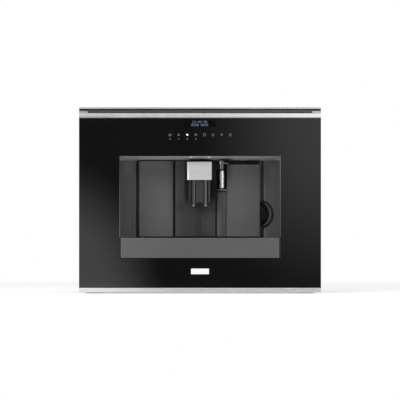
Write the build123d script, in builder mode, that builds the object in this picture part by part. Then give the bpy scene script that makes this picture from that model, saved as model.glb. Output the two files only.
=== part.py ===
from build123d import *
import os
from math import cos, radians, sin

os.makedirs("parts", exist_ok=True)

# A built in coffee machine that pulls out of its cabinet on telescopic runners.
# Millimetres. +X is to the right of someone in front of it, -Y is towards them and +Z is up.
# Z = 0 is the cabinet floor that the runners stand on; X = Y = 0 is the middle of its footprint.

# ---------------------------------------------------------------------------------------
# Driving sizes: the front
# ---------------------------------------------------------------------------------------
FRONT_W = 595.0  # glass and trims, edge to edge
FRONT_H = 456.6  # bottom trim to top lip
FRONT_BOTTOM = 2.0  # lower edge above the cabinet floor
DEPTH = 400.0  # trims to the flanges of the sockets behind
REAR_PROUD = 2.0  # socket flanges behind the rear panel
TRIM_PROUD = 2.0  # trims in front of the glass
TRIM_D = 22.0  # trims, front to back
TRIM_EDGE_R = 1.2
BOTTOM_TRIM_H = 11.0
TOP_BAR_H = 12.3  # steel bar under the finger channel
CHANNEL_H = 10.4  # finger channel of the pull handle
CHANNEL_D = 14.0
CHANNEL_R = 3.0
LIP_H = 4.9  # lip over the channel
CAP_W = 22.0  # blocks that close the channel's two ends
CAP_H = 4.6
GLASS_T = 4.0
CARRIER_D = 18.0  # moulding behind the glass
CARRIER_T = 3.0
CARRIER_INSET = 2.5

# The niche in the front
WINDOW_W = 396.8
WINDOW_BOTTOM = 85.6
WINDOW_DROP = 92.7  # window's upper edge under the glass's
BEZEL_W = 2.7
BEZEL_TOP_H = 1.2
BEZEL_PROUD = 0.6
NICHE_D = 110.0  # back of the glass to the throat frame
LINER_T = 2.5
THROAT_W = 314.8
THROAT_DROP = 11.0  # throat's upper edge under the window's
THROAT_T = 4.0
FLANGE_W = 9.0

# The service door that closes the back of the niche
DOOR_LEFT = -150.6
DOOR_RIGHT = 148.0
DOOR_BOTTOM = 139.2
DOOR_DROP = 1.5  # door's upper edge under the throat's
DOOR_T = 14.0
DOOR_BACK_T = 2.0
DOOR_GAP = 2.0  # back cover to throat frame
DOOR_SKIN = 3.0
DOOR_EDGE = 1.0  # chamfer of the front edges
LEFT_PANEL_W = 83.7
LEFT_GROOVE_W = 5.4
CENTRE_W = 99.6
RIGHT_GROOVE_W = 3.7
COLUMN_W = 24.1
GROOVE_DEPTH = 7.0
CENTRE_INSET = 1.0
CENTRE_HOLLOW = 7.0  # how far the middle of the concave centre lies back
COLUMN_BULGE = 4.0
RIGHT_PANEL_DROP = 8.8  # right panel's top edge under the left one's
NOTCH_DEPTH = 69.3  # notch that lets the hot-water nozzle through, from the door's top
SPLIT_DROP = 75.8  # shadow gap across the column, from the door's top
SPLIT_H = 2.2
NOTCH_R = 4.0
NOTCH_GAP = 0.6
PIN_R = 2.5
PIN_FIT = 0.05
PIN_GRIP = 9.0  # length of each hinge pin in the door
HINGE_BOSS_R = 6.5

# The finger scoop in the right wall
SCOOP_Z = 194.5
SCOOP_R = 30.6
SCOOP_BITE = 15.0  # how far the scoop reaches out past the throat
SCOOP_T = 2.4
SCOOP_COLLAR = 7.0
SCOOP_COLLAR_PROUD = 2.6
SCOOP_D = 24.0
SCOOP_TAPER = 10.0  # how much narrower the scoop's floor is, on each side

# Spout
SPOUT_X = -1.2
COVER_W = 61.0
COVER_H = 45.0
COVER_DROP = 1.8  # cover's top under the door's
COVER_D = 48.0  # in front of the door's flat panels
COVER_T = 2.0
COVER_R = 4.5
COVER_EDGE_R = 1.4
UNIT_W = 54.0
UNIT_DROP = 107.5  # nozzle unit's lower edge under the cover's top
UNIT_TRAVEL = 32.0
UNIT_FRONT_GAP = 4.5  # nozzle unit's face behind the cover's inner face
TUBE_PITCH = 30.0
TUBE_R = 4.25
OUTLET_R = 2.6
OUTLET_BORE_R = 1.6
OUTLET_DROP = 2.2
RAIL_WEB_W = 8.0
RAIL_HEAD_W = 16.0
RAIL_HEAD_T = 4.0
SLIDE_FIT = 0.3

# Hot-water nozzle
NOZZLE_X = 54.3
CONNECTOR_DROP = 5.7  # connector's axis under the throat's upper edge
CONNECTOR_R = 4.0
CONNECTOR_BORE_R = 2.0
NOZZLE_OUT = 33.0  # nozzle axis in front of the throat frame
SOCKET_R = 5.6
SOCKET_FIT = 0.06
TUBE_DROP = 20.1  # chrome tube's upper end under the connector's axis
TUBE_L = 42.6
TUBE_OUTER_R = 5.15
TUBE_INNER_R = 3.2

# Drip tray
TRAY_FRONT_GAP = 3.4  # between the tray front and each side of the window
TRAY_FRONT_H = 49.7
TRAY_FRONT_LOW_GAP = 1.2  # between the tray front and the window's lower edge
TRAY_FRONT_T = 4.0
TRAY_EDGE_R = 1.5
TRAY_H = 44.0
TRAY_T = 2.0
TRAY_FLOOR_GAP = 0.4
TRAY_SIDE_GAP = 1.0
TRAY_BACK_GAP = 22.5  # basin to throat frame
GRILLE_T = 2.5
GRILLE_GAP = 0.3
SLOT_W = 5.5
SLOT_PITCH = 12.5
SLOT_COUNT = 25
SLOT_MARGIN = 12.0
FLOAT_X = 118.75
FLOAT_R = 6.5
FLOAT_GAP = 0.8
NECK_W = 160.0
NECK_OUT = 100.0  # its back behind the brew axis
NECK_WALL_H = 9.0
BOX_GAP = 2.4
BOX_H = 45.0

# ---------------------------------------------------------------------------------------
# Driving sizes: chassis and runners
# ---------------------------------------------------------------------------------------
CABINET_W = 560.0  # inside width of the cabinet
SHEET = 1.2
BASE_Z = 12.0
TOP_DROP = 26.6  # top panel under the front's upper edge
DECK_Z = 140.0
SHEET_FLANGE = 12.0
SLIDE_T = 12.7  # the three nested runner members together
SLIDE_GAP = 0.3
RUNNER_SHEET = 1.5
RUNNER_H = 46.0
RUNNER_Z = 31.0
RUNNER_FRONT_GAP = 6.0  # runners behind the chassis's front edge
RUNNER_BACK_GAP = 6.8  # runners in front of the rear panel
RUNNER_PLAY = 0.35
CABINET_ARM_GAP = 1.3  # arm tips of the outer member to the chassis
MIDDLE_ARM_GAP = 1.9
MACHINE_ARM_GAP = 1.0  # arm tips of the inner member to the middle one's web
FOOT_W = 40.0
SCREW_HOLE_R = 2.5
FOOT_HOLE_X = 252.0
FOOT_HOLE_Y = 120.0
WALL_HOLE_Y = 130.0

# Openings in the top panel: hopper, powder funnel, grind knob and tank
HOPPER_X = (-252.0, -128.0)
HOPPER_Y = (-58.0, 82.0)
HOPPER_T = 2.0
HOPPER_OUTLET_R = 22.0
RIM_W = 4.0
RIM_T = 2.0
LID_T = 3.0
LID_GAP = 0.3
HINGE_PIN_R = 1.5
KNOB_X = -94.0
KNOB_Y = 12.0
KNOB_R = 15.0
KNOB_H = 9.0
KNOB_SHAFT_R = 7.0
KNOB_GRIPS = 12
FUNNEL_X = (-34.0, 32.0)
FUNNEL_REACH = (22.0, 38.0)  # in front of and behind the brew axis
FUNNEL_T = 2.0
TANK_X = (166.0, 250.0)
TANK_FRONT_GAP = 30.0  # to the throat frame
TANK_BACK_GAP = 98.0  # to the rear panel
TANK_BOTTOM = 185.0
TANK_T = 2.2
TANK_GAP = 2.0
TANK_PROUD = 2.0  # tank's rim above the top panel

# Grinder
GRINDER_X = -188.0
GRINDER_Y = 12.0
GRINDER_R = 43.0
GRINDER_H = 64.0
GRINDER_DROP = 16.0  # its base under the brew group's top
BURR_R = 24.0
BURR_FLUTES = 8
MOTOR_R = 31.0
MOTOR_H = 92.0
LEG_R = 5.0
LEG_CIRCLE_R = 41.0

# Brew group
BREW_X = 0.0
BREW_OUT = 46.0  # its axis behind the throat frame
CHAMBER_R = 27.0
CHAMBER_BORE_R = 22.0
CHAMBER_BOTTOM = 176.0
CHAMBER_H = 52.0
BREW_LIFT = 40.0
POWDER_SLOT_OUT = 26.5  # behind the brew axis
FUNNEL_OUT = (18.0, 10.0)
CHEEK_T = 4.0
BREW_TOP = 304.0
BREW_BASE_T = 6.0
SPINDLE_R = 5.0
SPINDLE_OUT = 50.0  # behind the brew axis

# Pump and the hose from the water tank
PUMP_INSET = 48.0  # its axis in front of the rear panel
DOCK_OUT_X = 200.0
HOSE_HOLE_R = 12.0

# ---------------------------------------------------------------------------------------
# Places worked out from the driving sizes
# ---------------------------------------------------------------------------------------
FRONT_Y = -DEPTH / 2
BACK_Y = DEPTH / 2
GLASS_Y = FRONT_Y + TRIM_PROUD
CARRIER_Y = GLASS_Y + GLASS_T
CHASSIS_Y = CARRIER_Y + CARRIER_D
TRIM_BACK_Y = FRONT_Y + TRIM_D
GLASS_BOTTOM = FRONT_BOTTOM + BOTTOM_TRIM_H
FRONT_TOP = FRONT_BOTTOM + FRONT_H
CHANNEL_TOP = FRONT_TOP - LIP_H
CHANNEL_BOTTOM = CHANNEL_TOP - CHANNEL_H
GLASS_TOP = CHANNEL_BOTTOM - TOP_BAR_H
WINDOW_TOP = GLASS_TOP - WINDOW_DROP
THROAT_TOP = WINDOW_TOP - THROAT_DROP
DOOR_TOP = THROAT_TOP - DOOR_DROP

WALL_X = CABINET_W / 2
BODY_X = WALL_X - SLIDE_T - SLIDE_GAP
INNER_X = BODY_X - SHEET
REAR_Y = BACK_Y - REAR_PROUD
INNER_BACK_Y = REAR_Y - SHEET
TOP_Z = FRONT_TOP - TOP_DROP
DECK_UNDER_Z = DECK_Z - SHEET
TOP_UNDER_Z = TOP_Z - SHEET

THROAT_Y = CARRIER_Y + NICHE_D
THROAT_BACK_Y = THROAT_Y + THROAT_T
LINER_X = WINDOW_W / 2 - BEZEL_W
THROAT_X = THROAT_W / 2
LINER_TOP = WINDOW_TOP - BEZEL_TOP_H
SPLAY = (LINER_X - THROAT_X) / NICHE_D
CEILING_SLOPE = (LINER_TOP - THROAT_TOP) / NICHE_D

DOOR_BACK_Y = THROAT_Y - DOOR_GAP - DOOR_BACK_T
DOOR_Y = DOOR_BACK_Y - DOOR_T
DOOR_R = DOOR_T / 2
HINGE_X = DOOR_LEFT + DOOR_R
HINGE_Y = DOOR_BACK_Y - DOOR_R
GROOVE_Y = DOOR_Y + GROOVE_DEPTH
CENTRE_Y = DOOR_Y + CENTRE_INSET
GROOVE_1 = DOOR_LEFT + LEFT_PANEL_W
CENTRE_1 = GROOVE_1 + LEFT_GROOVE_W
CENTRE_2 = CENTRE_1 + CENTRE_W
COLUMN_1 = CENTRE_2 + RIGHT_GROOVE_W
COLUMN_2 = COLUMN_1 + COLUMN_W
RIGHT_TOP = DOOR_TOP - RIGHT_PANEL_DROP
NOTCH_BOTTOM = DOOR_TOP - NOTCH_DEPTH
SPLIT_Z = DOOR_TOP - SPLIT_DROP

COVER_Y = DOOR_Y - COVER_D
COVER_INNER_Y = COVER_Y + COVER_T
COVER_TOP = DOOR_TOP - COVER_DROP
COVER_BOTTOM = COVER_TOP - COVER_H
COVER_INNER_TOP = COVER_TOP - COVER_T
UNIT_BOTTOM = COVER_TOP - UNIT_DROP
UNIT_TOP = COVER_INNER_TOP - UNIT_TRAVEL - SLIDE_FIT
UNIT_Y = COVER_INNER_Y + UNIT_FRONT_GAP
RAIL_HEAD_Y = DOOR_Y - 6.0
UNIT_BACK_Y = DOOR_Y - 1.5
RAIL_BOTTOM = UNIT_BOTTOM + 6.0

NOZZLE_Y = THROAT_Y - NOZZLE_OUT
CONNECTOR_Z = THROAT_TOP - CONNECTOR_DROP
TUBE_TOP = CONNECTOR_Z - TUBE_DROP
TUBE_BOTTOM = TUBE_TOP - TUBE_L
TRAY_FRONT_Y = GLASS_Y
TRAY_FRONT_W = WINDOW_W - 2 * TRAY_FRONT_GAP
TRAY_FRONT_BOTTOM = WINDOW_BOTTOM + TRAY_FRONT_LOW_GAP
TRAY_FRONT_TOP = TRAY_FRONT_BOTTOM + TRAY_FRONT_H
TRAY_BACK_Y = THROAT_Y - TRAY_BACK_GAP
TRAY_BOTTOM = WINDOW_BOTTOM + TRAY_FLOOR_GAP
TRAY_TOP = TRAY_BOTTOM + TRAY_H
BASIN_FRONT_Y = TRAY_FRONT_Y + TRAY_FRONT_T
GRILLE_Z = TRAY_TOP + GRILLE_GAP
LINER_FLOOR = WINDOW_BOTTOM - LINER_T
BREW_Y = THROAT_BACK_Y + BREW_OUT
NECK_BACK = BREW_Y + NECK_OUT
CHANNEL_X = NECK_W / 2 + TRAY_SIDE_GAP
CHANNEL_BACK = NECK_BACK + TRAY_SIDE_GAP

POWDER_SLOT_Y = BREW_Y + POWDER_SLOT_OUT
SPINDLE_Y = BREW_Y + SPINDLE_OUT
FUNNEL_Y = (BREW_Y - FUNNEL_REACH[0], BREW_Y + FUNNEL_REACH[1])
TANK_Y = (THROAT_BACK_Y + TANK_FRONT_GAP, REAR_Y - TANK_BACK_GAP)
GRINDER_BOTTOM = BREW_TOP - GRINDER_DROP
GRINDER_TOP = GRINDER_BOTTOM + GRINDER_H
HOPPER_FLOOR = GRINDER_TOP
HOPPER_SHOULDER = (HOPPER_FLOOR + TOP_Z) / 2
MOTOR_BOTTOM = GRINDER_BOTTOM - MOTOR_H
TANK_TOP = TOP_Z + TANK_PROUD
PUMP_Y = REAR_Y - PUMP_INSET


def block(x, y, z, mode=Mode.ADD):
    """A box between a low and a high limit on each axis."""
    with Locations(((x[0] + x[1]) / 2, (y[0] + y[1]) / 2, (z[0] + z[1]) / 2)):
        Box(x[1] - x[0], y[1] - y[0], z[1] - z[0], mode=mode)


def rod(axis, centre, radius, span, mode=Mode.ADD):
    """A round bar along one axis; centre is its place on the other two, in X, Y, Z order."""
    middle = (span[0] + span[1]) / 2
    places = {"X": (middle, *centre), "Y": (centre[0], middle, centre[1]), "Z": (*centre, middle)}
    turns = {"X": (0, 90, 0), "Y": (90, 0, 0), "Z": (0, 0, 0)}
    with Locations(places[axis]):
        Cylinder(radius, span[1] - span[0], rotation=turns[axis], mode=mode)


def liner_half_width(y):
    """Half the width between the splayed walls at a depth y."""
    return THROAT_X + (THROAT_Y - y) * SPLAY


def ceiling(y):
    """Height of the niche's sloped ceiling at a depth y."""
    return THROAT_TOP + (THROAT_Y - y) * CEILING_SLOPE


# ---------------------------------------------------------------------------------------
# Runners: cabinet, middle and machine members, nested in the gap beside the chassis
# ---------------------------------------------------------------------------------------
WEB_X = WALL_X - RUNNER_SHEET / 2
ARM_Z = RUNNER_H / 2 - RUNNER_SHEET / 2
ARM_STEP = RUNNER_SHEET + RUNNER_PLAY
RUNNER_FRONT = CHASSIS_Y + RUNNER_FRONT_GAP
RUNNER_BACK = INNER_BACK_Y - RUNNER_BACK_GAP
RUNNER_LENGTH = RUNNER_BACK - RUNNER_FRONT
MACHINE_WEB_X = BODY_X + RUNNER_SHEET / 2


def channel_points(web_x, tip_x, half_height):
    """Centre line of a C-shaped member, from one arm's tip round the web to the other's."""
    return [
        (tip_x, RUNNER_Z + half_height),
        (web_x, RUNNER_Z + half_height),
        (web_x, RUNNER_Z - half_height),
        (tip_x, RUNNER_Z - half_height),
    ]


with BuildPart() as cabinet_rails:
    with BuildSketch(Plane.XZ.offset(-RUNNER_BACK)):
        with BuildLine():
            Polyline(*channel_points(WEB_X, BODY_X + CABINET_ARM_GAP, ARM_Z))
        trace(line_width=RUNNER_SHEET)
        with BuildLine():
            Polyline(
                (WEB_X, RUNNER_Z - ARM_Z),
                (WEB_X, RUNNER_SHEET / 2),
                (WALL_X - FOOT_W, RUNNER_SHEET / 2),
            )
        trace(line_width=RUNNER_SHEET)
    extrude(amount=RUNNER_LENGTH)
    for y in (-FOOT_HOLE_Y, FOOT_HOLE_Y):
        rod("Z", (FOOT_HOLE_X, y), SCREW_HOLE_R, (-1, RUNNER_SHEET + 1), Mode.SUBTRACT)
    for y in (-WALL_HOLE_Y, WALL_HOLE_Y):
        rod("X", (y, RUNNER_Z), SCREW_HOLE_R, (WALL_X - 3, WALL_X + 1), Mode.SUBTRACT)
    mirror(about=Plane.YZ)

with BuildPart() as middle_rails:
    with BuildSketch(Plane.XZ.offset(-RUNNER_BACK)):
        with BuildLine():
            arm_tip = BODY_X + MIDDLE_ARM_GAP
            Polyline(*channel_points(WEB_X - ARM_STEP, arm_tip, ARM_Z - ARM_STEP))
        trace(line_width=RUNNER_SHEET)
    extrude(amount=RUNNER_LENGTH)
    mirror(about=Plane.YZ)

with BuildPart() as machine_rails:
    with BuildSketch(Plane.XZ.offset(-RUNNER_BACK)):
        with BuildLine():
            arm_tip = WEB_X - 2 * ARM_STEP - MACHINE_ARM_GAP
            Polyline(*channel_points(MACHINE_WEB_X, arm_tip, ARM_Z - 2 * ARM_STEP))
        trace(line_width=RUNNER_SHEET)
    extrude(amount=RUNNER_LENGTH)
    mirror(about=Plane.YZ)

# ---------------------------------------------------------------------------------------
# Chassis: base pan, side panels, rear panel, top panel and the deck between them
# ---------------------------------------------------------------------------------------
VENT_W = 4.0
VENT_L = 70.0
VENT_PITCH = 11.0
BASE_VENT_L = 40.0
BASE_VENT_STEP = 60.0
BASE_VENTS = (4, 7)
SIDE_VENTS = 9
SIDE_VENT_Y = 60.0
SIDE_VENT_Z = TOP_Z - 70.0
REAR_VENTS = 16
REAR_VENT_X = -120.0
REAR_VENT_Z = (TOP_Z - 147.0, TOP_Z - 57.0)
INLET_X = -200.0
INLET_Z = 70.0
INLET_W = 27.0
INLET_H = 20.0
INLET_FLANGE_W = 44.0
INLET_FLANGE_H = 27.0
INLET_D = 30.0
SWITCH_X = -150.0
SWITCH_W = 13.0
SWITCH_H = 19.4
REAR_SCREW_R = 2.0
REAR_SCREW_X = BODY_X - 7.0
REAR_SCREW_STEP = (TOP_Z - 72.0) / 3
REAR_SCREW_Z = [50.0 + REAR_SCREW_STEP * i for i in range(4)]
SCREW_TAB = 12.0

with BuildPart() as base_pan:
    block((-INNER_X, INNER_X), (CHASSIS_Y, INNER_BACK_Y), (BASE_Z, BASE_Z + SHEET_FLANGE))
    offset(amount=-SHEET, openings=base_pan.faces().sort_by(Axis.Z)[-1])
    with GridLocations(BASE_VENT_STEP, VENT_PITCH, *BASE_VENTS):
        Box(BASE_VENT_L, VENT_W, 4 * BASE_Z, mode=Mode.SUBTRACT)

with BuildPart() as side_panel_right:
    with BuildSketch(Plane.XZ.offset(-INNER_BACK_Y)):
        with BuildLine():
            Polyline(
                (BODY_X - SHEET_FLANGE, TOP_UNDER_Z - SHEET / 2),
                (BODY_X - SHEET / 2, TOP_UNDER_Z - SHEET / 2),
                (BODY_X - SHEET / 2, BASE_Z),
            )
        trace(line_width=SHEET)
    extrude(amount=INNER_BACK_Y - CHASSIS_Y)
    for z in REAR_SCREW_Z:
        block(
            (BODY_X - SCREW_TAB, BODY_X - SHEET / 2),
            (INNER_BACK_Y - SHEET, INNER_BACK_Y),
            (z - SCREW_TAB / 2, z + SCREW_TAB / 2),
        )
        rod("Y", (REAR_SCREW_X, z), REAR_SCREW_R, (INNER_BACK_Y - 5, INNER_BACK_Y + 1), Mode.SUBTRACT)
    with Locations((BODY_X, SIDE_VENT_Y, SIDE_VENT_Z)):
        with GridLocations(0, VENT_PITCH, 1, SIDE_VENTS):
            Box(4 * SHEET, VENT_W, VENT_L, mode=Mode.SUBTRACT)

with BuildPart() as side_panel_left:
    mirror(side_panel_right.part, about=Plane.YZ)

with BuildPart() as rear_panel:
    block((-BODY_X, BODY_X), (INNER_BACK_Y, REAR_Y), (BASE_Z, TOP_Z))
    block(
        (INLET_X - INLET_W / 2, INLET_X + INLET_W / 2),
        (INNER_BACK_Y - 1, REAR_Y + 1),
        (INLET_Z - INLET_H / 2, INLET_Z + INLET_H / 2),
        Mode.SUBTRACT,
    )
    block(
        (SWITCH_X - SWITCH_W / 2, SWITCH_X + SWITCH_W / 2),
        (INNER_BACK_Y - 1, REAR_Y + 1),
        (INLET_Z - SWITCH_H / 2, INLET_Z + SWITCH_H / 2),
        Mode.SUBTRACT,
    )
    for z in REAR_VENT_Z:
        with Locations((REAR_VENT_X, REAR_Y, z)):
            with GridLocations(VENT_PITCH, 0, REAR_VENTS, 1):
                Box(VENT_W, 4 * SHEET, VENT_L, mode=Mode.SUBTRACT)
    for z in REAR_SCREW_Z:
        for x in (-REAR_SCREW_X, REAR_SCREW_X):
            rod("Y", (x, z), REAR_SCREW_R, (INNER_BACK_Y - 1, REAR_Y + 1), Mode.SUBTRACT)

with BuildPart() as rear_screws:
    for z in REAR_SCREW_Z:
        for x in (-REAR_SCREW_X, REAR_SCREW_X):
            rod("Y", (x, z), REAR_SCREW_R - 0.1, (INNER_BACK_Y - 5, REAR_Y))
            rod("Y", (x, z), REAR_SCREW_R * 2, (REAR_Y, BACK_Y - 0.2))

with BuildPart() as top_panel:
    block((-BODY_X, BODY_X), (CHASSIS_Y, INNER_BACK_Y), (TOP_UNDER_Z, TOP_Z))
    block(
        (-BODY_X + 2 * SHEET_FLANGE, BODY_X - 2 * SHEET_FLANGE),
        (INNER_BACK_Y - SHEET, INNER_BACK_Y),
        (TOP_UNDER_Z - SHEET_FLANGE, TOP_UNDER_Z),
    )
    for x, y in ((HOPPER_X, HOPPER_Y), (FUNNEL_X, FUNNEL_Y)):
        block(x, y, (TOP_UNDER_Z - 1, TOP_Z + 1), Mode.SUBTRACT)
    block(
        (TANK_X[0] - TANK_GAP, TANK_X[1] + TANK_GAP),
        (TANK_Y[0] - TANK_GAP, TANK_Y[1] + TANK_GAP),
        (TOP_UNDER_Z - 1, TOP_Z + 1),
        Mode.SUBTRACT,
    )
    rod("Z", (KNOB_X, KNOB_Y), KNOB_SHAFT_R + PIN_FIT, (TOP_UNDER_Z - 1, TOP_Z + 1), Mode.SUBTRACT)

with BuildPart() as inner_deck:
    block((-INNER_X, INNER_X), (THROAT_BACK_Y, INNER_BACK_Y), (DECK_UNDER_Z, DECK_Z))
    block(
        (-CHANNEL_X, CHANNEL_X),
        (THROAT_BACK_Y - 1, NECK_BACK - 20),
        (DECK_UNDER_Z - 1, DECK_Z + 1),
        Mode.SUBTRACT,
    )
    for x in (-DOCK_OUT_X, DOCK_OUT_X):
        rod("Z", (x, PUMP_Y), HOSE_HOLE_R, (DECK_UNDER_Z - 1, DECK_Z + 1), Mode.SUBTRACT)

# ---------------------------------------------------------------------------------------
# Front: carrier, glass, steel trims, bezel
# ---------------------------------------------------------------------------------------
CARRIER_X = FRONT_W / 2 - CARRIER_INSET
DISPLAY_W = 79.0
DISPLAY_H = 16.2
DISPLAY_Z = GLASS_TOP - 13.4
DISPLAY_T = 8.0
KEYS_W = 184.0
KEYS_Z = (GLASS_TOP - 61.0, GLASS_TOP - 29.0)
KEY_BOARD_T = 1.6
KEY_PITCH = 21.15
KEY_ROW_1_Z = GLASS_TOP - 41.0
KEY_ROW_2_Z = GLASS_TOP - 51.3
KEY_PAD_R = 3.6
KEY_PAD_T = 1.0
KEYS_PER_ROW = (8, 4)
KEY_PLUG_W = 40.0
PLATE_W = 44.0
PLATE_H = 13.7
PLATE_Z = 53.9
PLATE_T = 1.0
LAMP_X = 22.0
LAMP_Y = CARRIER_Y + 23.0
LAMP_R = 2.8

with BuildPart() as front_carrier:
    block((-CARRIER_X, CARRIER_X), (CARRIER_Y, CHASSIS_Y), (GLASS_BOTTOM, GLASS_TOP))
    offset(amount=-CARRIER_T, openings=front_carrier.faces().sort_by(Axis.Y)[-1])
    for side in (-1, 1):
        rib = sorted((side * (BODY_X - CARRIER_T), side * (BODY_X + CARRIER_T)))
        block(rib, (CARRIER_Y, CHASSIS_Y), (GLASS_BOTTOM, GLASS_TOP))
    block(
        (-WINDOW_W / 2, WINDOW_W / 2),
        (CARRIER_Y - 1, CHASSIS_Y + 1),
        (LINER_FLOOR, WINDOW_TOP + LINER_T),
        Mode.SUBTRACT,
    )
    for width, low, high in (
        (DISPLAY_W, DISPLAY_Z - DISPLAY_H / 2, DISPLAY_Z + DISPLAY_H / 2),
        (KEYS_W, KEYS_Z[0], KEYS_Z[1]),
    ):
        block(
            (-width / 2, width / 2),
            (CARRIER_Y - 1, CARRIER_Y + CARRIER_T + 1),
            (low, high),
            Mode.SUBTRACT,
        )

with BuildPart() as front_glass:
    block((-FRONT_W / 2, FRONT_W / 2), (GLASS_Y, CARRIER_Y), (GLASS_BOTTOM, GLASS_TOP))
    block(
        (-WINDOW_W / 2, WINDOW_W / 2),
        (GLASS_Y - 1, CARRIER_Y + 1),
        (WINDOW_BOTTOM, WINDOW_TOP),
        Mode.SUBTRACT,
    )

with BuildPart() as top_profile:
    with BuildSketch(Plane.YZ.offset(-FRONT_W / 2)) as profile:
        with BuildLine():
            Polyline(
                (TRIM_BACK_Y, GLASS_TOP),
                (FRONT_Y, GLASS_TOP),
                (FRONT_Y, CHANNEL_BOTTOM),
                (FRONT_Y + CHANNEL_D, CHANNEL_BOTTOM),
                (FRONT_Y + CHANNEL_D, CHANNEL_TOP),
                (FRONT_Y, CHANNEL_TOP),
                (FRONT_Y, FRONT_TOP),
                (TRIM_BACK_Y, FRONT_TOP),
                close=True,
            )
        make_face()
        channel_corners = profile.vertices().group_by(Axis.X)[1]
        fillet(channel_corners, CHANNEL_R)
        front_corners = profile.vertices().group_by(Axis.X)[0]
        fillet(front_corners, TRIM_EDGE_R)
    extrude(amount=FRONT_W)

with BuildPart() as channel_end_caps:
    cap_x = (FRONT_W / 2 - CAP_W, FRONT_W / 2)
    cap_y = (FRONT_Y + TRIM_EDGE_R, FRONT_Y + CHANNEL_D - CHANNEL_R)
    block(cap_x, cap_y, (CHANNEL_BOTTOM, CHANNEL_BOTTOM + CAP_H))
    inner_edge = channel_end_caps.edges().filter_by(Axis.Y).group_by(Axis.Z)[-1].sort_by(Axis.X)[0]
    fillet(inner_edge, CAP_H * 0.7)
    mirror(about=Plane.YZ)

with BuildPart() as bottom_trim:
    with BuildSketch(Plane.YZ.offset(-FRONT_W / 2)) as profile:
        with Locations(((FRONT_Y + TRIM_BACK_Y) / 2, FRONT_BOTTOM + BOTTOM_TRIM_H / 2)):
            Rectangle(TRIM_D, BOTTOM_TRIM_H)
        fillet(profile.vertices().group_by(Axis.X)[0], TRIM_EDGE_R)
    extrude(amount=FRONT_W)

with BuildPart() as niche_bezel:
    with BuildSketch(Plane.XZ.offset(-CARRIER_Y)):
        side_bottom = TRAY_FRONT_TOP + TRAY_EDGE_R
        with BuildLine():
            Polyline(
                (-WINDOW_W / 2, side_bottom),
                (-WINDOW_W / 2, WINDOW_TOP),
                (WINDOW_W / 2, WINDOW_TOP),
                (WINDOW_W / 2, side_bottom),
                (LINER_X, side_bottom),
                (LINER_X, LINER_TOP),
                (-LINER_X, LINER_TOP),
                (-LINER_X, side_bottom),
                close=True,
            )
        make_face()
    extrude(amount=GLASS_T + BEZEL_PROUD)

with BuildPart() as brand_plate:
    with BuildSketch(Plane.XZ.offset(-GLASS_Y)):
        with Locations((0, PLATE_Z)):
            RectangleRounded(PLATE_W, PLATE_H, 0.8)
    extrude(amount=PLATE_T)

with BuildPart() as display_module:
    block(
        (-DISPLAY_W / 2, DISPLAY_W / 2),
        (CARRIER_Y, CARRIER_Y + DISPLAY_T),
        (DISPLAY_Z - DISPLAY_H / 2, DISPLAY_Z + DISPLAY_H / 2),
    )
    block(
        (-DISPLAY_W / 2 - 3, DISPLAY_W / 2 + 3),
        (CARRIER_Y + CARRIER_T, CARRIER_Y + CARRIER_T + 1.6),
        (DISPLAY_Z - DISPLAY_H / 2 - 2, DISPLAY_Z + DISPLAY_H / 2 + 2),
    )

with BuildPart() as touch_board:
    board_y = CARRIER_Y + KEY_PAD_T
    block((-KEYS_W / 2, KEYS_W / 2), (board_y, board_y + KEY_BOARD_T), KEYS_Z)
    first_key = -KEY_PITCH * (KEYS_PER_ROW[0] - 1) / 2
    for z, count in zip((KEY_ROW_1_Z, KEY_ROW_2_Z), KEYS_PER_ROW):
        for key in range(count):
            rod("Y", (first_key + key * KEY_PITCH, z), KEY_PAD_R, (CARRIER_Y, board_y))
    plug_y = board_y + KEY_BOARD_T
    block((-KEY_PLUG_W / 2, KEY_PLUG_W / 2), (plug_y, plug_y + 5), (KEYS_Z[0] + 2, KEYS_Z[0] + 14))

# ---------------------------------------------------------------------------------------
# Niche liner: splayed walls and a sloped ceiling, open to the throat behind
# ---------------------------------------------------------------------------------------
SCOOP_X = THROAT_X + SCOOP_BITE - SCOOP_R


def niche_section(y, margin):
    """A rectangle across the niche at depth y, grown by a wall all round."""
    half = liner_half_width(y) + margin
    low, high = WINDOW_BOTTOM - margin, ceiling(y) + margin
    with BuildSketch(Plane.XZ.offset(-y)) as section:
        with Locations((0, (low + high) / 2)):
            Rectangle(2 * half, high - low)
    return section.sketch


with BuildPart() as niche_liner:
    loft([niche_section(y, LINER_T) for y in (CARRIER_Y, THROAT_Y)], ruled=True)
    flange_y = CARRIER_Y + CARRIER_T
    block(
        (-WINDOW_W / 2 - FLANGE_W, WINDOW_W / 2 + FLANGE_W),
        (flange_y, flange_y + LINER_T),
        (LINER_FLOOR - FLANGE_W, WINDOW_TOP + LINER_T + FLANGE_W),
    )
    rod("Z", (HINGE_X, HINGE_Y), HINGE_BOSS_R, (ceiling(HINGE_Y), ceiling(HINGE_Y) + 10))
    loft([niche_section(y, 0) for y in (CARRIER_Y, THROAT_Y)], ruled=True, mode=Mode.SUBTRACT)
    rod("Z", (HINGE_X, HINGE_Y), PIN_R, (DOOR_TOP, ceiling(HINGE_Y) + 11), Mode.SUBTRACT)
    rod("Y", (SCOOP_X, SCOOP_Z), SCOOP_R + SCOOP_T, (CARRIER_Y, THROAT_Y + 1), Mode.SUBTRACT)
    for side in (-1, 1):
        lamp_x = side * LAMP_X
        rod("Z", (lamp_x, LAMP_Y), LAMP_R, (LINER_TOP - 9, WINDOW_TOP + 9), Mode.SUBTRACT)

with BuildPart() as cup_lights:
    lamp_z = ceiling(LAMP_Y)
    for side in (-1, 1):
        rod("Z", (side * LAMP_X, LAMP_Y), LAMP_R, (lamp_z - 0.8, lamp_z + LINER_T + 3))
        rod("Z", (side * LAMP_X, LAMP_Y), LAMP_R + 2, (lamp_z + LINER_T + 0.6, lamp_z + LINER_T + 4))

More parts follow.
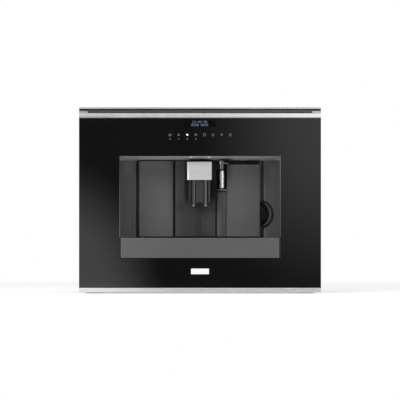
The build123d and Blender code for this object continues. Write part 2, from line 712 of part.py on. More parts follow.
# The frame that the niche ends in: hinge lug, door opening and the channel of the drip tray
LUG_Z = (DOOR_BOTTOM - 10.0, DOOR_BOTTOM - 0.5)
ACCESS_X = (-118.0, 116.0)
ACCESS_Z = (DOOR_BOTTOM + 10.8, THROAT_TOP - 21.3)
THROAT_BEAM = 20.0
CONNECTOR_HOLE_R = 6.0
CATCH_X = (122.0, 144.0)
CATCH_W = 8.0

with BuildPart() as throat_frame:
    block(
        (-INNER_X, INNER_X),
        (THROAT_Y, THROAT_BACK_Y),
        (LINER_FLOOR - SHEET_FLANGE, THROAT_TOP + THROAT_BEAM),
    )
    with BuildSketch(Plane.XZ.offset(-THROAT_BACK_Y)):
        with Locations((sum(ACCESS_X) / 2, sum(ACCESS_Z) / 2)):
            RectangleRounded(ACCESS_X[1] - ACCESS_X[0], ACCESS_Z[1] - ACCESS_Z[0], 10)
        with Locations((0, (WINDOW_BOTTOM + DECK_UNDER_Z) / 2)):
            Rectangle(2 * CHANNEL_X, DECK_UNDER_Z - WINDOW_BOTTOM)
        with Locations((NOZZLE_X, CONNECTOR_Z)):
            Circle(CONNECTOR_HOLE_R)
        with Locations((SCOOP_X, SCOOP_Z)):
            Circle(SCOOP_R + SCOOP_T)
    extrude(amount=THROAT_T, mode=Mode.SUBTRACT)
    block(
        (-CHANNEL_X - LINER_T, CHANNEL_X + LINER_T),
        (THROAT_BACK_Y, CHANNEL_BACK + LINER_T),
        (LINER_FLOOR, DECK_UNDER_Z),
    )
    block(
        (-CHANNEL_X, CHANNEL_X),
        (THROAT_Y, CHANNEL_BACK),
        (WINDOW_BOTTOM, DECK_UNDER_Z + 1),
        Mode.SUBTRACT,
    )
    rod("Z", (HINGE_X, HINGE_Y), HINGE_BOSS_R, LUG_Z)
    block((HINGE_X - HINGE_BOSS_R, HINGE_X + HINGE_BOSS_R), (HINGE_Y, THROAT_Y), LUG_Z)
    rod("Z", (HINGE_X, HINGE_Y), PIN_R, (LUG_Z[0] - 1, LUG_Z[1] + 1), Mode.SUBTRACT)

with BuildPart() as hinge_pins:
    rod("Z", (HINGE_X, HINGE_Y), PIN_R, (LUG_Z[0], DOOR_BOTTOM + PIN_GRIP))
    rod("Z", (HINGE_X, HINGE_Y), PIN_R, (DOOR_TOP - PIN_GRIP, ceiling(HINGE_Y) + 10))

with BuildPart() as door_catch:
    with BuildSketch(Plane.YZ.offset(CATCH_X[0])):
        with BuildLine():
            Polyline(
                (THROAT_Y, RIGHT_TOP + 9),
                (DOOR_Y + 1, RIGHT_TOP + 9),
                (DOOR_Y - 1, RIGHT_TOP + 5),
                (DOOR_Y + 3, RIGHT_TOP + 1.0),
                (DOOR_Y + 7, RIGHT_TOP + 0.4),
                (DOOR_Y + 11, RIGHT_TOP + 1.0),
                (THROAT_Y, RIGHT_TOP + 5),
                close=True,
            )
        make_face()
    extrude(amount=CATCH_W)
    block((CATCH_X[0], CATCH_X[1]), (THROAT_Y - 3, THROAT_Y), (RIGHT_TOP + 5, RIGHT_TOP + 9))

with BuildPart() as finger_scoop:
    rod("Y", (SCOOP_X, SCOOP_Z), SCOOP_R + SCOOP_COLLAR, (CARRIER_Y, THROAT_Y))
    loft([niche_section(y, 0) for y in (CARRIER_Y, THROAT_Y)], ruled=True, mode=Mode.INTERSECT)
    tube_front = THROAT_Y - (SCOOP_BITE + SCOOP_T) / SPLAY
    rod("Y", (SCOOP_X, SCOOP_Z), SCOOP_R + SCOOP_T, (tube_front, THROAT_BACK_Y))
    inside = [niche_section(y, -SCOOP_COLLAR_PROUD) for y in (CARRIER_Y, THROAT_Y)]
    loft(inside, ruled=True, mode=Mode.SUBTRACT)
    rod("Y", (SCOOP_X, SCOOP_Z), SCOOP_R, (CARRIER_Y, THROAT_BACK_Y), Mode.SUBTRACT)
    with BuildSketch(Plane((SCOOP_X, THROAT_BACK_Y, SCOOP_Z))):
        with BuildLine():
            Polyline(
                (SCOOP_R, 0),
                (SCOOP_R - SCOOP_TAPER / 3, SCOOP_D * 2 / 3),
                (SCOOP_R - SCOOP_TAPER, SCOOP_D),
                (0, SCOOP_D),
                (0, SCOOP_D + SCOOP_T),
                (SCOOP_R + SCOOP_T - SCOOP_TAPER, SCOOP_D + SCOOP_T),
                (SCOOP_R + SCOOP_T - SCOOP_TAPER / 3, SCOOP_D * 2 / 3),
                (SCOOP_R + SCOOP_T, 0),
                close=True,
            )
        make_face()
    revolve(axis=Axis((SCOOP_X, 0, SCOOP_Z), (0, 1, 0)))

# ---------------------------------------------------------------------------------------
# Service door: its front is one section, flat, grooved, concave and bulging, drawn out upwards
# ---------------------------------------------------------------------------------------


def door_section():
    """The door's plan outline, rounded behind its left edge so that it can turn there."""
    middle = (CENTRE_1 + CENTRE_2) / 2
    column = (COLUMN_1 + COLUMN_2) / 2
    with BuildSketch() as section:
        with BuildLine():
            CenterArc((HINGE_X, HINGE_Y), DOOR_R, 90, 90)
            Polyline(
                (DOOR_LEFT, HINGE_Y),
                (DOOR_LEFT, DOOR_Y + DOOR_EDGE),
                (DOOR_LEFT + DOOR_EDGE, DOOR_Y),
                (GROOVE_1, DOOR_Y),
                (GROOVE_1, GROOVE_Y),
                (CENTRE_1, GROOVE_Y),
                (CENTRE_1, CENTRE_Y),
            )
            ThreePointArc(
                (CENTRE_1, CENTRE_Y), (middle, CENTRE_Y + CENTRE_HOLLOW), (CENTRE_2, CENTRE_Y)
            )
            Polyline(
                (CENTRE_2, CENTRE_Y),
                (CENTRE_2, GROOVE_Y),
                (COLUMN_1, GROOVE_Y),
                (COLUMN_1, CENTRE_Y),
            )
            ThreePointArc(
                (COLUMN_1, CENTRE_Y), (column, CENTRE_Y - COLUMN_BULGE), (COLUMN_2, CENTRE_Y)
            )
            Polyline(
                (COLUMN_2, CENTRE_Y),
                (COLUMN_2, DOOR_Y),
                (DOOR_RIGHT - DOOR_EDGE, DOOR_Y),
                (DOOR_RIGHT, DOOR_Y + DOOR_EDGE),
                (DOOR_RIGHT, DOOR_BACK_Y),
                (HINGE_X, DOOR_BACK_Y),
            )
        make_face()
    return section.sketch


PORT_Z = COVER_BOTTOM + 21.0
PORT_R = 6.0
POCKET_EDGE = 6.0

with BuildPart() as service_door:
    with BuildSketch(Plane.XY.offset(DOOR_BOTTOM)):
        add(door_section())
    extrude(amount=DOOR_TOP - DOOR_BOTTOM)
    block(
        (COLUMN_2 - 1, DOOR_RIGHT + 1),
        (DOOR_Y - COLUMN_BULGE - 1, DOOR_BACK_Y + 1),
        (RIGHT_TOP, DOOR_TOP + 1),
        Mode.SUBTRACT,
    )
    with BuildSketch(Plane.XZ.offset(-DOOR_BACK_Y)):
        notch_h = DOOR_TOP - NOTCH_BOTTOM + 3 * NOTCH_R
        with Locations(((COLUMN_1 + COLUMN_2) / 2, NOTCH_BOTTOM + notch_h / 2)):
            RectangleRounded(COLUMN_W + 2 * NOTCH_GAP, notch_h, NOTCH_R)
    extrude(amount=DOOR_T + COLUMN_BULGE + 1, mode=Mode.SUBTRACT)
    block(
        (COLUMN_1 - 1, COLUMN_2 + 1),
        (DOOR_Y - COLUMN_BULGE - 1, DOOR_Y + SPLIT_H),
        (SPLIT_Z - SPLIT_H / 2, SPLIT_Z + SPLIT_H / 2),
        Mode.SUBTRACT,
    )
    pocket_y = (DOOR_Y + DOOR_SKIN, DOOR_BACK_Y)
    for x, top in (
        ((HINGE_X + HINGE_BOSS_R, GROOVE_1 - DOOR_SKIN), DOOR_TOP),
        ((COLUMN_2 + DOOR_SKIN, DOOR_RIGHT - DOOR_SKIN), RIGHT_TOP),
    ):
        block(x, pocket_y, (DOOR_BOTTOM + POCKET_EDGE, top - POCKET_EDGE), Mode.SUBTRACT)
    for low in (DOOR_BOTTOM, DOOR_TOP - PIN_GRIP - 1):
        rod("Z", (HINGE_X, HINGE_Y), PIN_R + PIN_FIT, (low - 1, low + PIN_GRIP + 1), Mode.SUBTRACT)
    rod("Y", (SPOUT_X, PORT_Z), PORT_R, (DOOR_Y - 1, DOOR_BACK_Y + 1), Mode.SUBTRACT)
    rail_foot_y = CENTRE_Y + CENTRE_HOLLOW + 1
    block(
        (SPOUT_X - RAIL_WEB_W / 2, SPOUT_X + RAIL_WEB_W / 2),
        (RAIL_HEAD_Y - 1, rail_foot_y),
        (RAIL_BOTTOM, PORT_Z - PORT_R - 2),
    )
    block(
        (SPOUT_X - RAIL_HEAD_W / 2, SPOUT_X + RAIL_HEAD_W / 2),
        (RAIL_HEAD_Y - RAIL_HEAD_T, RAIL_HEAD_Y),
        (RAIL_BOTTOM, PORT_Z - PORT_R - 2),
    )

with BuildPart() as door_back:
    left, right = HINGE_X + DOOR_R, DOOR_RIGHT - DOOR_SKIN / 2
    with BuildSketch(Plane.XZ.offset(-DOOR_BACK_Y - DOOR_BACK_T)):
        with BuildLine():
            Polyline(
                (left, DOOR_BOTTOM + 2),
                (right, DOOR_BOTTOM + 2),
                (right, RIGHT_TOP - 2),
                (COLUMN_2 + 2, RIGHT_TOP - 2),
                (COLUMN_2 + 2, NOTCH_BOTTOM - 2),
                (COLUMN_1 - 2, NOTCH_BOTTOM - 2),
                (COLUMN_1 - 2, DOOR_TOP - 2),
                (left, DOOR_TOP - 2),
                close=True,
            )
        make_face()
        with Locations((SPOUT_X, PORT_Z)):
            Circle(PORT_R, mode=Mode.SUBTRACT)
    extrude(amount=DOOR_BACK_T)

with BuildPart() as spout_cover:
    cover_x = (SPOUT_X - COVER_W / 2, SPOUT_X + COVER_W / 2)
    block(cover_x, (COVER_Y, DOOR_BACK_Y), (COVER_BOTTOM, COVER_TOP))
    front_edges = spout_cover.edges().filter_by(Axis.Z).group_by(Axis.Y)[0]
    fillet(front_edges, COVER_R)
    top_edges = spout_cover.faces().sort_by(Axis.Z)[-1].edges().sort_by(Axis.Y)[:-1]
    fillet(top_edges, COVER_EDGE_R)
    block(
        (cover_x[0] + COVER_T, cover_x[1] - COVER_T),
        (COVER_INNER_Y, DOOR_BACK_Y),
        (COVER_BOTTOM - 1, COVER_INNER_TOP),
        Mode.SUBTRACT,
    )
    with BuildSketch(Plane.XY.offset(DOOR_BOTTOM)):
        add(door_section())
    extrude(amount=DOOR_TOP - DOOR_BOTTOM, mode=Mode.SUBTRACT)
    split(bisect_by=Plane.XZ.offset(-DOOR_BACK_Y + 1), keep=Keep.TOP)

# The nozzle unit: a ribbed block that runs up into the cover on the door's rail
RIDGE_INSET = 3.5
RIDGE_W = 3.0
ARCH_H = 7.5
SHOULDER_H = (4.0, 11.0)  # its lower corners rise from the tubes to the sides
OUTLET_Y = UNIT_Y + 2.0
OUTLET_L = 15.0

with BuildPart() as spout_unit:
    with BuildSketch(Plane.XY.offset(UNIT_BOTTOM)) as plan:
        with Locations((SPOUT_X, (UNIT_Y + UNIT_BACK_Y) / 2)):
            Rectangle(UNIT_W, UNIT_BACK_Y - UNIT_Y)
        with Locations((SPOUT_X, UNIT_Y)):
            with GridLocations(TUBE_PITCH, 0, 2, 1):
                Circle(TUBE_R)
            with GridLocations(UNIT_W - 2 * RIDGE_INSET, 0, 2, 1):
                Rectangle(RIDGE_W, RIDGE_W)
        with Locations((SPOUT_X, RAIL_HEAD_Y - RAIL_HEAD_T / 2)):
            head = (RAIL_HEAD_W + 2 * SLIDE_FIT, RAIL_HEAD_T + 2 * SLIDE_FIT)
            Rectangle(*head, mode=Mode.SUBTRACT)
        with Locations((SPOUT_X, UNIT_BACK_Y)):
            slot_d = 2 * (UNIT_BACK_Y - RAIL_HEAD_Y + RAIL_HEAD_T / 2)
            Rectangle(RAIL_WEB_W + 2 * SLIDE_FIT, slot_d, mode=Mode.SUBTRACT)
    extrude(amount=UNIT_TOP - UNIT_BOTTOM)
    with BuildSketch(Plane.XZ.offset(-UNIT_BACK_Y - 1)):
        arch = TUBE_PITCH / 2 - TUBE_R
        with BuildLine():
            ThreePointArc(
                (SPOUT_X - arch, UNIT_BOTTOM),
                (SPOUT_X, UNIT_BOTTOM + ARCH_H),
                (SPOUT_X + arch, UNIT_BOTTOM),
            )
            Line((SPOUT_X + arch, UNIT_BOTTOM), (SPOUT_X - arch, UNIT_BOTTOM))
        make_face()
        for side in (-1, 1):
            tube_side = SPOUT_X + side * (TUBE_PITCH / 2 + TUBE_R)
            unit_side = SPOUT_X + side * (UNIT_W / 2 + 2)
            with BuildLine():
                Polyline(
                    (tube_side, UNIT_BOTTOM),
                    (tube_side + side * 0.5, UNIT_BOTTOM + SHOULDER_H[0]),
                    (unit_side, UNIT_BOTTOM + SHOULDER_H[1]),
                    (unit_side, UNIT_BOTTOM),
                    close=True,
                )
            make_face()
    extrude(amount=UNIT_BACK_Y - UNIT_Y + 10, mode=Mode.SUBTRACT)
    with Locations((SPOUT_X, OUTLET_Y, UNIT_BOTTOM)):
        with GridLocations(TUBE_PITCH, 0, 2, 1):
            Cylinder(OUTLET_R, 2 * OUTLET_L, mode=Mode.SUBTRACT)

with BuildPart() as coffee_outlets:
    for side in (-1, 1):
        at = (SPOUT_X + side * TUBE_PITCH / 2, OUTLET_Y)
        span = (UNIT_BOTTOM - OUTLET_DROP, UNIT_BOTTOM + OUTLET_L)
        rod("Z", at, OUTLET_R, span)
        rod("Z", at, OUTLET_BORE_R, span, Mode.SUBTRACT)

# ---------------------------------------------------------------------------------------
# Hot-water nozzle: a connector on the throat frame and the nozzle that pulls off it
# ---------------------------------------------------------------------------------------
SOCKET_L = 10.0
RING_R = 3.65

with BuildPart() as steam_outlet:
    at = (NOZZLE_X, CONNECTOR_Z)
    rod("Y", at, CONNECTOR_HOLE_R, (THROAT_Y, THROAT_BACK_Y))
    rod("Y", at, CONNECTOR_HOLE_R + 4, (THROAT_BACK_Y, THROAT_BACK_Y + 3))
    rod("Y", at, CONNECTOR_R, (NOZZLE_Y + 1, THROAT_BACK_Y + 14))
    collar_y = NOZZLE_Y + SOCKET_L + 3
    rod("X", (collar_y, CONNECTOR_Z), RING_R, (NOZZLE_X - 6.6, NOZZLE_X + 15))
    for x in (NOZZLE_X + 6, NOZZLE_X + 10, NOZZLE_X + 14):
        rod("X", (collar_y, CONNECTOR_Z), RING_R + 0.3, (x, x + 1.4))
    rod("Y", at, CONNECTOR_BORE_R, (NOZZLE_Y, THROAT_BACK_Y + 15), Mode.SUBTRACT)

with BuildPart() as hot_water_nozzle:
    socket_y = (NOZZLE_Y - SOCKET_R, NOZZLE_Y + SOCKET_L - 1)
    rod("Y", at, SOCKET_R, socket_y)
    with Locations((NOZZLE_X, NOZZLE_Y, (CONNECTOR_Z + TUBE_TOP) / 2)):
        Cone(TUBE_INNER_R + 0.4, 4.6, CONNECTOR_Z - TUBE_TOP)
    rod("Z", (NOZZLE_X, NOZZLE_Y), TUBE_OUTER_R, (TUBE_BOTTOM, TUBE_TOP))
    tube_end = hot_water_nozzle.edges().filter_by(GeomType.CIRCLE).sort_by(Axis.Z)[0]
    fillet(tube_end, 1.0)
    rod("Y", at, CONNECTOR_R + SOCKET_FIT, (NOZZLE_Y, NOZZLE_Y + SOCKET_L), Mode.SUBTRACT)
    rod("Z", (NOZZLE_X, NOZZLE_Y), TUBE_INNER_R, (TUBE_BOTTOM - 1, TUBE_BOTTOM + 25), Mode.SUBTRACT)

# ---------------------------------------------------------------------------------------
# Drip tray: a basin as wide as the niche, with a neck behind it that carries the grounds box
# ---------------------------------------------------------------------------------------
GRILLE_INSET = 3.0
FLOAT_Y = (BASIN_FRONT_Y + TRAY_BACK_Y) / 2
FLOAT_TUBE_H = 18.0
FLOAT_LOW = TRAY_BOTTOM + TRAY_T + 0.3


def tray_plan(inset, front_inset=0.0):
    """The basin's outline, which follows the splayed walls of the niche."""
    front_x = liner_half_width(BASIN_FRONT_Y) - TRAY_SIDE_GAP - inset
    back_x = liner_half_width(TRAY_BACK_Y) - TRAY_SIDE_GAP - inset
    front_y, back_y = BASIN_FRONT_Y + front_inset, TRAY_BACK_Y - inset
    with BuildSketch() as plan:
        with BuildLine():
            Polyline(
                (-front_x, front_y), (front_x, front_y), (back_x, back_y), (-back_x, back_y), close=True
            )
        make_face()
        fillet(plan.vertices(), max(0.5, 6.0 - inset))
    return plan.sketch


with BuildPart() as drip_tray:
    neck_x = NECK_W / 2
    with BuildSketch(Plane.XY.offset(TRAY_BOTTOM)):
        add(tray_plan(0))
    extrude(amount=TRAY_H)
    neck_z = (TRAY_BOTTOM, TRAY_BOTTOM + TRAY_T + NECK_WALL_H)
    block((-neck_x, neck_x), (TRAY_BACK_Y - 8, NECK_BACK), neck_z)
    with BuildSketch(Plane.XY.offset(TRAY_BOTTOM + TRAY_T)):
        add(tray_plan(TRAY_T, TRAY_T))
    extrude(amount=TRAY_H, mode=Mode.SUBTRACT)
    block(
        (-neck_x + TRAY_T, neck_x - TRAY_T),
        (TRAY_BACK_Y, NECK_BACK - TRAY_T),
        (TRAY_BOTTOM + TRAY_T, TRAY_TOP),
        Mode.SUBTRACT,
    )
    bore = FLOAT_R + FLOAT_GAP
    tube_top = FLOAT_LOW + FLOAT_TUBE_H
    rod("Z", (FLOAT_X, FLOAT_Y), bore + TRAY_T, (TRAY_BOTTOM, tube_top))
    rod("Z", (FLOAT_X, FLOAT_Y), bore, (TRAY_BOTTOM + TRAY_T, tube_top + 1), Mode.SUBTRACT)

with BuildPart() as tray_front:
    block(
        (-TRAY_FRONT_W / 2, TRAY_FRONT_W / 2),
        (TRAY_FRONT_Y, BASIN_FRONT_Y),
        (TRAY_FRONT_BOTTOM, TRAY_FRONT_TOP),
    )
    fillet(tray_front.faces().sort_by(Axis.Y)[0].edges(), TRAY_EDGE_R)

with BuildPart() as tray_grille:
    with BuildSketch(Plane.XY.offset(GRILLE_Z)):
        add(tray_plan(0.6, 0.6))
        slot_l = TRAY_BACK_Y - BASIN_FRONT_Y - 2 * SLOT_MARGIN
        with Locations((0, (BASIN_FRONT_Y + TRAY_BACK_Y) / 2)):
            with GridLocations(SLOT_PITCH, 0, SLOT_COUNT, 1) as slots:
                reach = FLOAT_R + SLOT_PITCH / 2
                clear_of_float = [s for s in slots if abs(s.position.X - FLOAT_X) > reach]
        with Locations(clear_of_float):
            Rectangle(SLOT_W, slot_l, mode=Mode.SUBTRACT)
        with Locations((FLOAT_X, FLOAT_Y)):
            Circle(FLOAT_R + FLOAT_GAP, mode=Mode.SUBTRACT)
    extrude(amount=GRILLE_T)
    with BuildSketch(Plane.XY.offset(GRILLE_Z)):
        add(tray_plan(GRILLE_INSET, GRILLE_INSET))
        add(tray_plan(GRILLE_INSET + 1.6, GRILLE_INSET + 1.6), mode=Mode.SUBTRACT)
    extrude(amount=-6)

with BuildPart() as level_float:
    rod("Z", (FLOAT_X, FLOAT_Y), FLOAT_R, (FLOAT_LOW, GRILLE_Z + GRILLE_T + 0.6))
    fillet(level_float.edges().sort_by(Axis.Z)[-1], 1.5)

with BuildPart() as grounds_container:
    box_x = NECK_W / 2 - TRAY_T - 1.0
    box_y = (TRAY_BACK_Y + BOX_GAP + 10, NECK_BACK - TRAY_T - 1.0)
    box_z = (TRAY_BOTTOM + TRAY_T + 0.2, TRAY_BOTTOM + TRAY_T + 0.2 + BOX_H)
    block((-box_x, box_x), box_y, box_z)
    fillet(grounds_container.edges().filter_by(Axis.Z), 8)
    offset(amount=-TRAY_T, openings=grounds_container.faces().sort_by(Axis.Z)[-1])

# ---------------------------------------------------------------------------------------
# Lids: each turns on two pin stubs that point inwards from a pair of ears behind its rim
# ---------------------------------------------------------------------------------------
RIM_Z = TOP_Z
LID_Z = RIM_Z + RIM_T + LID_GAP
BARREL_R = LID_T
EAR_T = 3.0
STUB_L = 5.0
GRIP_R = 9.0
SKIRT_R = 9.0


def hinge_line(rim_back_y):
    """Y and Z of the hinge axis behind a rim."""
    return (rim_back_y + BARREL_R + LID_GAP, LID_Z + LID_T / 2)


def lid_ears(x, rim_back_y, foot_z):
    """The two ears, from the rim's back edge, between the x limits."""
    axis_y, axis_z = hinge_line(rim_back_y)
    for ear_x, inward in ((x[0], 1), (x[1], -1)):
        span = sorted((ear_x, ear_x + inward * EAR_T))
        block(span, (rim_back_y - 1, axis_y + BARREL_R), (foot_z, RIM_Z + RIM_T))
        block(span, (axis_y - BARREL_R, axis_y + BARREL_R), (foot_z, axis_z))
        rod("X", (axis_y, axis_z), BARREL_R, span)
        stub = sorted((ear_x, ear_x + inward * (EAR_T + STUB_L)))
        rod("X", (axis_y, axis_z), HINGE_PIN_R, stub)


def lid_plate(x, y, skirt_x, skirt_y):
    """A lid over a rim: plate, hinge barrel, a skirt that drops inside the rim, a finger recess."""
    axis_y, axis_z = hinge_line(y[1])
    plate_z = (LID_Z, LID_Z + LID_T)
    with BuildSketch(Plane.XY.offset(LID_Z)) as plate:
        with Locations(((x[0] + x[1]) / 2, (y[0] + y[1]) / 2)):
            RectangleRounded(x[1] - x[0], y[1] - y[0], 6)
    extrude(plate.sketch, amount=LID_T)
    barrel = (x[0] + 8 + EAR_T + LID_GAP, x[1] - 8 - EAR_T - LID_GAP)
    block(barrel, (y[1] - 7, axis_y), plate_z)
    rod("X", (axis_y, axis_z), BARREL_R, barrel)
    for end, inward in ((barrel[0], 1), (barrel[1], -1)):
        bore = sorted((end - inward, end + inward * (STUB_L + 1)))
        rod("X", (axis_y, axis_z), HINGE_PIN_R + PIN_FIT, bore, Mode.SUBTRACT)
    with BuildSketch(Plane.XY.offset(LID_Z)) as skirt:
        with Locations(((skirt_x[0] + skirt_x[1]) / 2, (skirt_y[0] + skirt_y[1]) / 2)):
            width, depth = skirt_x[1] - skirt_x[0], skirt_y[1] - skirt_y[0]
            RectangleRounded(width, depth, SKIRT_R)
            RectangleRounded(width - 3, depth - 3, SKIRT_R - 1.5, mode=Mode.SUBTRACT)
    extrude(skirt.sketch, amount=-(RIM_T + LID_GAP))
    grip = ((x[0] + x[1]) / 2, y[0] - GRIP_R + 4, LID_Z + LID_T / 2)
    with Locations(grip):
        Cylinder(GRIP_R, LID_T + 2, mode=Mode.SUBTRACT)


# ---------------------------------------------------------------------------------------
# Bean hopper, grinder and powder funnel
# ---------------------------------------------------------------------------------------
HOPPER_MID = (sum(HOPPER_X) / 2, sum(HOPPER_Y) / 2)
HOPPER_SIZE = (HOPPER_X[1] - HOPPER_X[0] - 1.0, HOPPER_Y[1] - HOPPER_Y[0] - 1.0)


def hopper_form(wall):
    """The hopper's outer form, or its hollow when a wall is given: a tub over a slanting funnel."""
    mode = Mode.SUBTRACT if wall else Mode.ADD
    with BuildSketch(Plane.XY.offset(HOPPER_SHOULDER)) as shoulder:
        with Locations(HOPPER_MID):
            RectangleRounded(HOPPER_SIZE[0] - 2 * wall, HOPPER_SIZE[1] - 2 * wall, 12 - wall)
    with BuildSketch(Plane.XY.offset(HOPPER_FLOOR)) as outlet:
        with Locations((GRINDER_X, GRINDER_Y)):
            side = 2 * (HOPPER_OUTLET_R + HOPPER_T - wall)
            RectangleRounded(side, side, side / 2 - 3)
    extrude(shoulder.sketch, amount=RIM_Z + RIM_T - HOPPER_SHOULDER, mode=mode)
    loft([outlet.sketch, shoulder.sketch], ruled=True, mode=mode)


with BuildPart() as bean_hopper:
    hopper_form(0)
    with BuildSketch(Plane.XY.offset(RIM_Z)):
        with Locations(HOPPER_MID):
            RectangleRounded(HOPPER_SIZE[0] + 2 * RIM_W, HOPPER_SIZE[1] + 2 * RIM_W, 14)
    extrude(amount=RIM_T)
    hopper_form(HOPPER_T)
    hopper_rim_x = (HOPPER_X[0] + 0.5 - RIM_W, HOPPER_X[1] - 0.5 + RIM_W)
    hopper_rim_y = (HOPPER_Y[0] + 0.5 - RIM_W, HOPPER_Y[1] - 0.5 + RIM_W)
    lid_ears((hopper_rim_x[0] + 8, hopper_rim_x[1] - 8), hopper_rim_y[1], RIM_Z)

with BuildPart() as hopper_lid:
    inside = HOPPER_T + 1.0
    lid_plate(
        hopper_rim_x,
        hopper_rim_y,
        (HOPPER_X[0] + 0.5 + inside, HOPPER_X[1] - 0.5 - inside),
        (HOPPER_Y[0] + 0.5 + inside, HOPPER_Y[1] - 0.5 - inside),
    )

with BuildPart() as grind_knob:
    knob_at = (KNOB_X, KNOB_Y)
    knob_z = (TOP_Z + LID_GAP, TOP_Z + LID_GAP + KNOB_H)
    rod("Z", knob_at, KNOB_R, knob_z)
    with Locations((KNOB_X, KNOB_Y, sum(knob_z) / 2)):
        with PolarLocations(KNOB_R + 1.2, KNOB_GRIPS, start_angle=15):
            Cylinder(2.2, KNOB_H, mode=Mode.SUBTRACT)
    block((KNOB_X - 1, KNOB_X + 1), (KNOB_Y - 13, KNOB_Y), (knob_z[1], knob_z[1] + 0.8))
    rod("Z", knob_at, KNOB_SHAFT_R, (TOP_UNDER_Z - 6, knob_z[0]))
    rod("Z", knob_at, KNOB_SHAFT_R + 2, (TOP_UNDER_Z - 2.5, TOP_UNDER_Z - LID_GAP))

with BuildPart() as grinder_housing:
    at = (GRINDER_X, GRINDER_Y)
    rod("Z", at, GRINDER_R, (GRINDER_BOTTOM, GRINDER_TOP))
    fillet(grinder_housing.edges().filter_by(GeomType.CIRCLE).sort_by(Axis.Z)[-1], 5)
    rod("Z", at, GRINDER_R + 5, (GRINDER_BOTTOM, GRINDER_BOTTOM + 6))
    with Locations((GRINDER_X, GRINDER_Y, (GRINDER_BOTTOM + DECK_Z) / 2)):
        with PolarLocations(LEG_CIRCLE_R, 3, start_angle=90):
            Cylinder(LEG_R, GRINDER_BOTTOM - DECK_Z)
    chute_end = BREW_X - FUNNEL_OUT[0] / 2 - 7
    chute_z = (BREW_TOP + 1.5, BREW_TOP + 21.5)
    block((GRINDER_X, chute_end), (GRINDER_Y - 12, GRINDER_Y + 12), chute_z)
    block((chute_end - 24, chute_end), (POWDER_SLOT_Y - 12, GRINDER_Y + 12), chute_z)
    rod("Z", at, BURR_R + 1.5, (GRINDER_BOTTOM + 12, GRINDER_TOP + 1), Mode.SUBTRACT)

with BuildPart() as grinder_burr:
    burr_low, burr_high = GRINDER_BOTTOM + 12.3, GRINDER_TOP - 8
    with BuildSketch(Plane((GRINDER_X, GRINDER_Y, 0), x_dir=(1, 0, 0), z_dir=(0, -1, 0))):
        with BuildLine():
            Polyline(
                (0, burr_low),
                (BURR_R, burr_low),
                (BURR_R, burr_low + 9),
                (BURR_R * 0.45, burr_high - 6),
                (5, burr_high),
                (0, burr_high),
                close=True,
            )
        make_face()
    revolve(axis=Axis((GRINDER_X, GRINDER_Y, 0), (0, 0, 1)))
    with Locations((GRINDER_X, GRINDER_Y, (burr_low + burr_high) / 2)):
        with PolarLocations(BURR_R, BURR_FLUTES):
            Cylinder(4, BURR_R * 4, rotation=(0, -20, 0), mode=Mode.SUBTRACT)

with BuildPart() as grinder_motor:
    rod("Z", (GRINDER_X, GRINDER_Y), MOTOR_R, (MOTOR_BOTTOM, GRINDER_BOTTOM))
    fillet(grinder_motor.edges().filter_by(GeomType.CIRCLE).sort_by(Axis.Z)[0], 4)
    rod("Z", (GRINDER_X, GRINDER_Y), MOTOR_R / 3, (MOTOR_BOTTOM - 6, MOTOR_BOTTOM))
    rod("Z", (GRINDER_X, GRINDER_Y), MOTOR_R + 1.5, (GRINDER_BOTTOM - 40, GRINDER_BOTTOM - 24))

FUNNEL_MID = (sum(FUNNEL_X) / 2, sum(FUNNEL_Y) / 2)
FUNNEL_SIZE = (FUNNEL_X[1] - FUNNEL_X[0] - 1.0, FUNNEL_Y[1] - FUNNEL_Y[0] - 1.0)
FUNNEL_BOTTOM = BREW_TOP + 0.3


def funnel_form(wall):
    """The funnel's outer form, or its hollow when a wall is given."""
    extra = 0.5 if wall else 0.0
    with BuildSketch(Plane.XY.offset(RIM_Z + extra)) as mouth:
        with Locations(FUNNEL_MID):
            RectangleRounded(FUNNEL_SIZE[0] - 2 * wall, FUNNEL_SIZE[1] - 2 * wall, 8 - wall)
    with BuildSketch(Plane.XY.offset(FUNNEL_BOTTOM - extra)) as throat:
        with Locations((BREW_X, POWDER_SLOT_Y)):
            RectangleRounded(FUNNEL_OUT[0] - 2 * wall, FUNNEL_OUT[1] - 2 * wall, 4 - wall)
    mode = Mode.SUBTRACT if wall else Mode.ADD
    loft([throat.sketch, mouth.sketch], ruled=True, mode=mode)


with BuildPart() as powder_funnel:
    funnel_form(0)
    with BuildSketch(Plane.XY.offset(RIM_Z)):
        with Locations(FUNNEL_MID):
            RectangleRounded(FUNNEL_SIZE[0] + 2 * RIM_W, FUNNEL_SIZE[1] + 2 * RIM_W, 10)
    extrude(amount=RIM_T)
    funnel_form(FUNNEL_T)
    with BuildSketch(Plane.XY.offset(RIM_Z)):
        with Locations(FUNNEL_MID):
            RectangleRounded(FUNNEL_SIZE[0] - 2 * FUNNEL_T, FUNNEL_SIZE[1] - 2 * FUNNEL_T, 6)
    extrude(amount=RIM_T + 1, mode=Mode.SUBTRACT)
    funnel_rim_x = (FUNNEL_X[0] + 0.5 - RIM_W, FUNNEL_X[1] - 0.5 + RIM_W)
    funnel_rim_y = (FUNNEL_Y[0] + 0.5 - RIM_W, FUNNEL_Y[1] - 0.5 + RIM_W)
    lid_ears((funnel_rim_x[0] + 8, funnel_rim_x[1] - 8), funnel_rim_y[1], RIM_Z)

with BuildPart() as funnel_lid:
    inside = FUNNEL_T + 1.0
    lid_plate(
        funnel_rim_x,
        funnel_rim_y,
        (FUNNEL_X[0] + 0.5 + inside, FUNNEL_X[1] - 0.5 - inside),
        (FUNNEL_Y[0] + 0.5 + inside, FUNNEL_Y[1] - 0.5 - inside),
    )

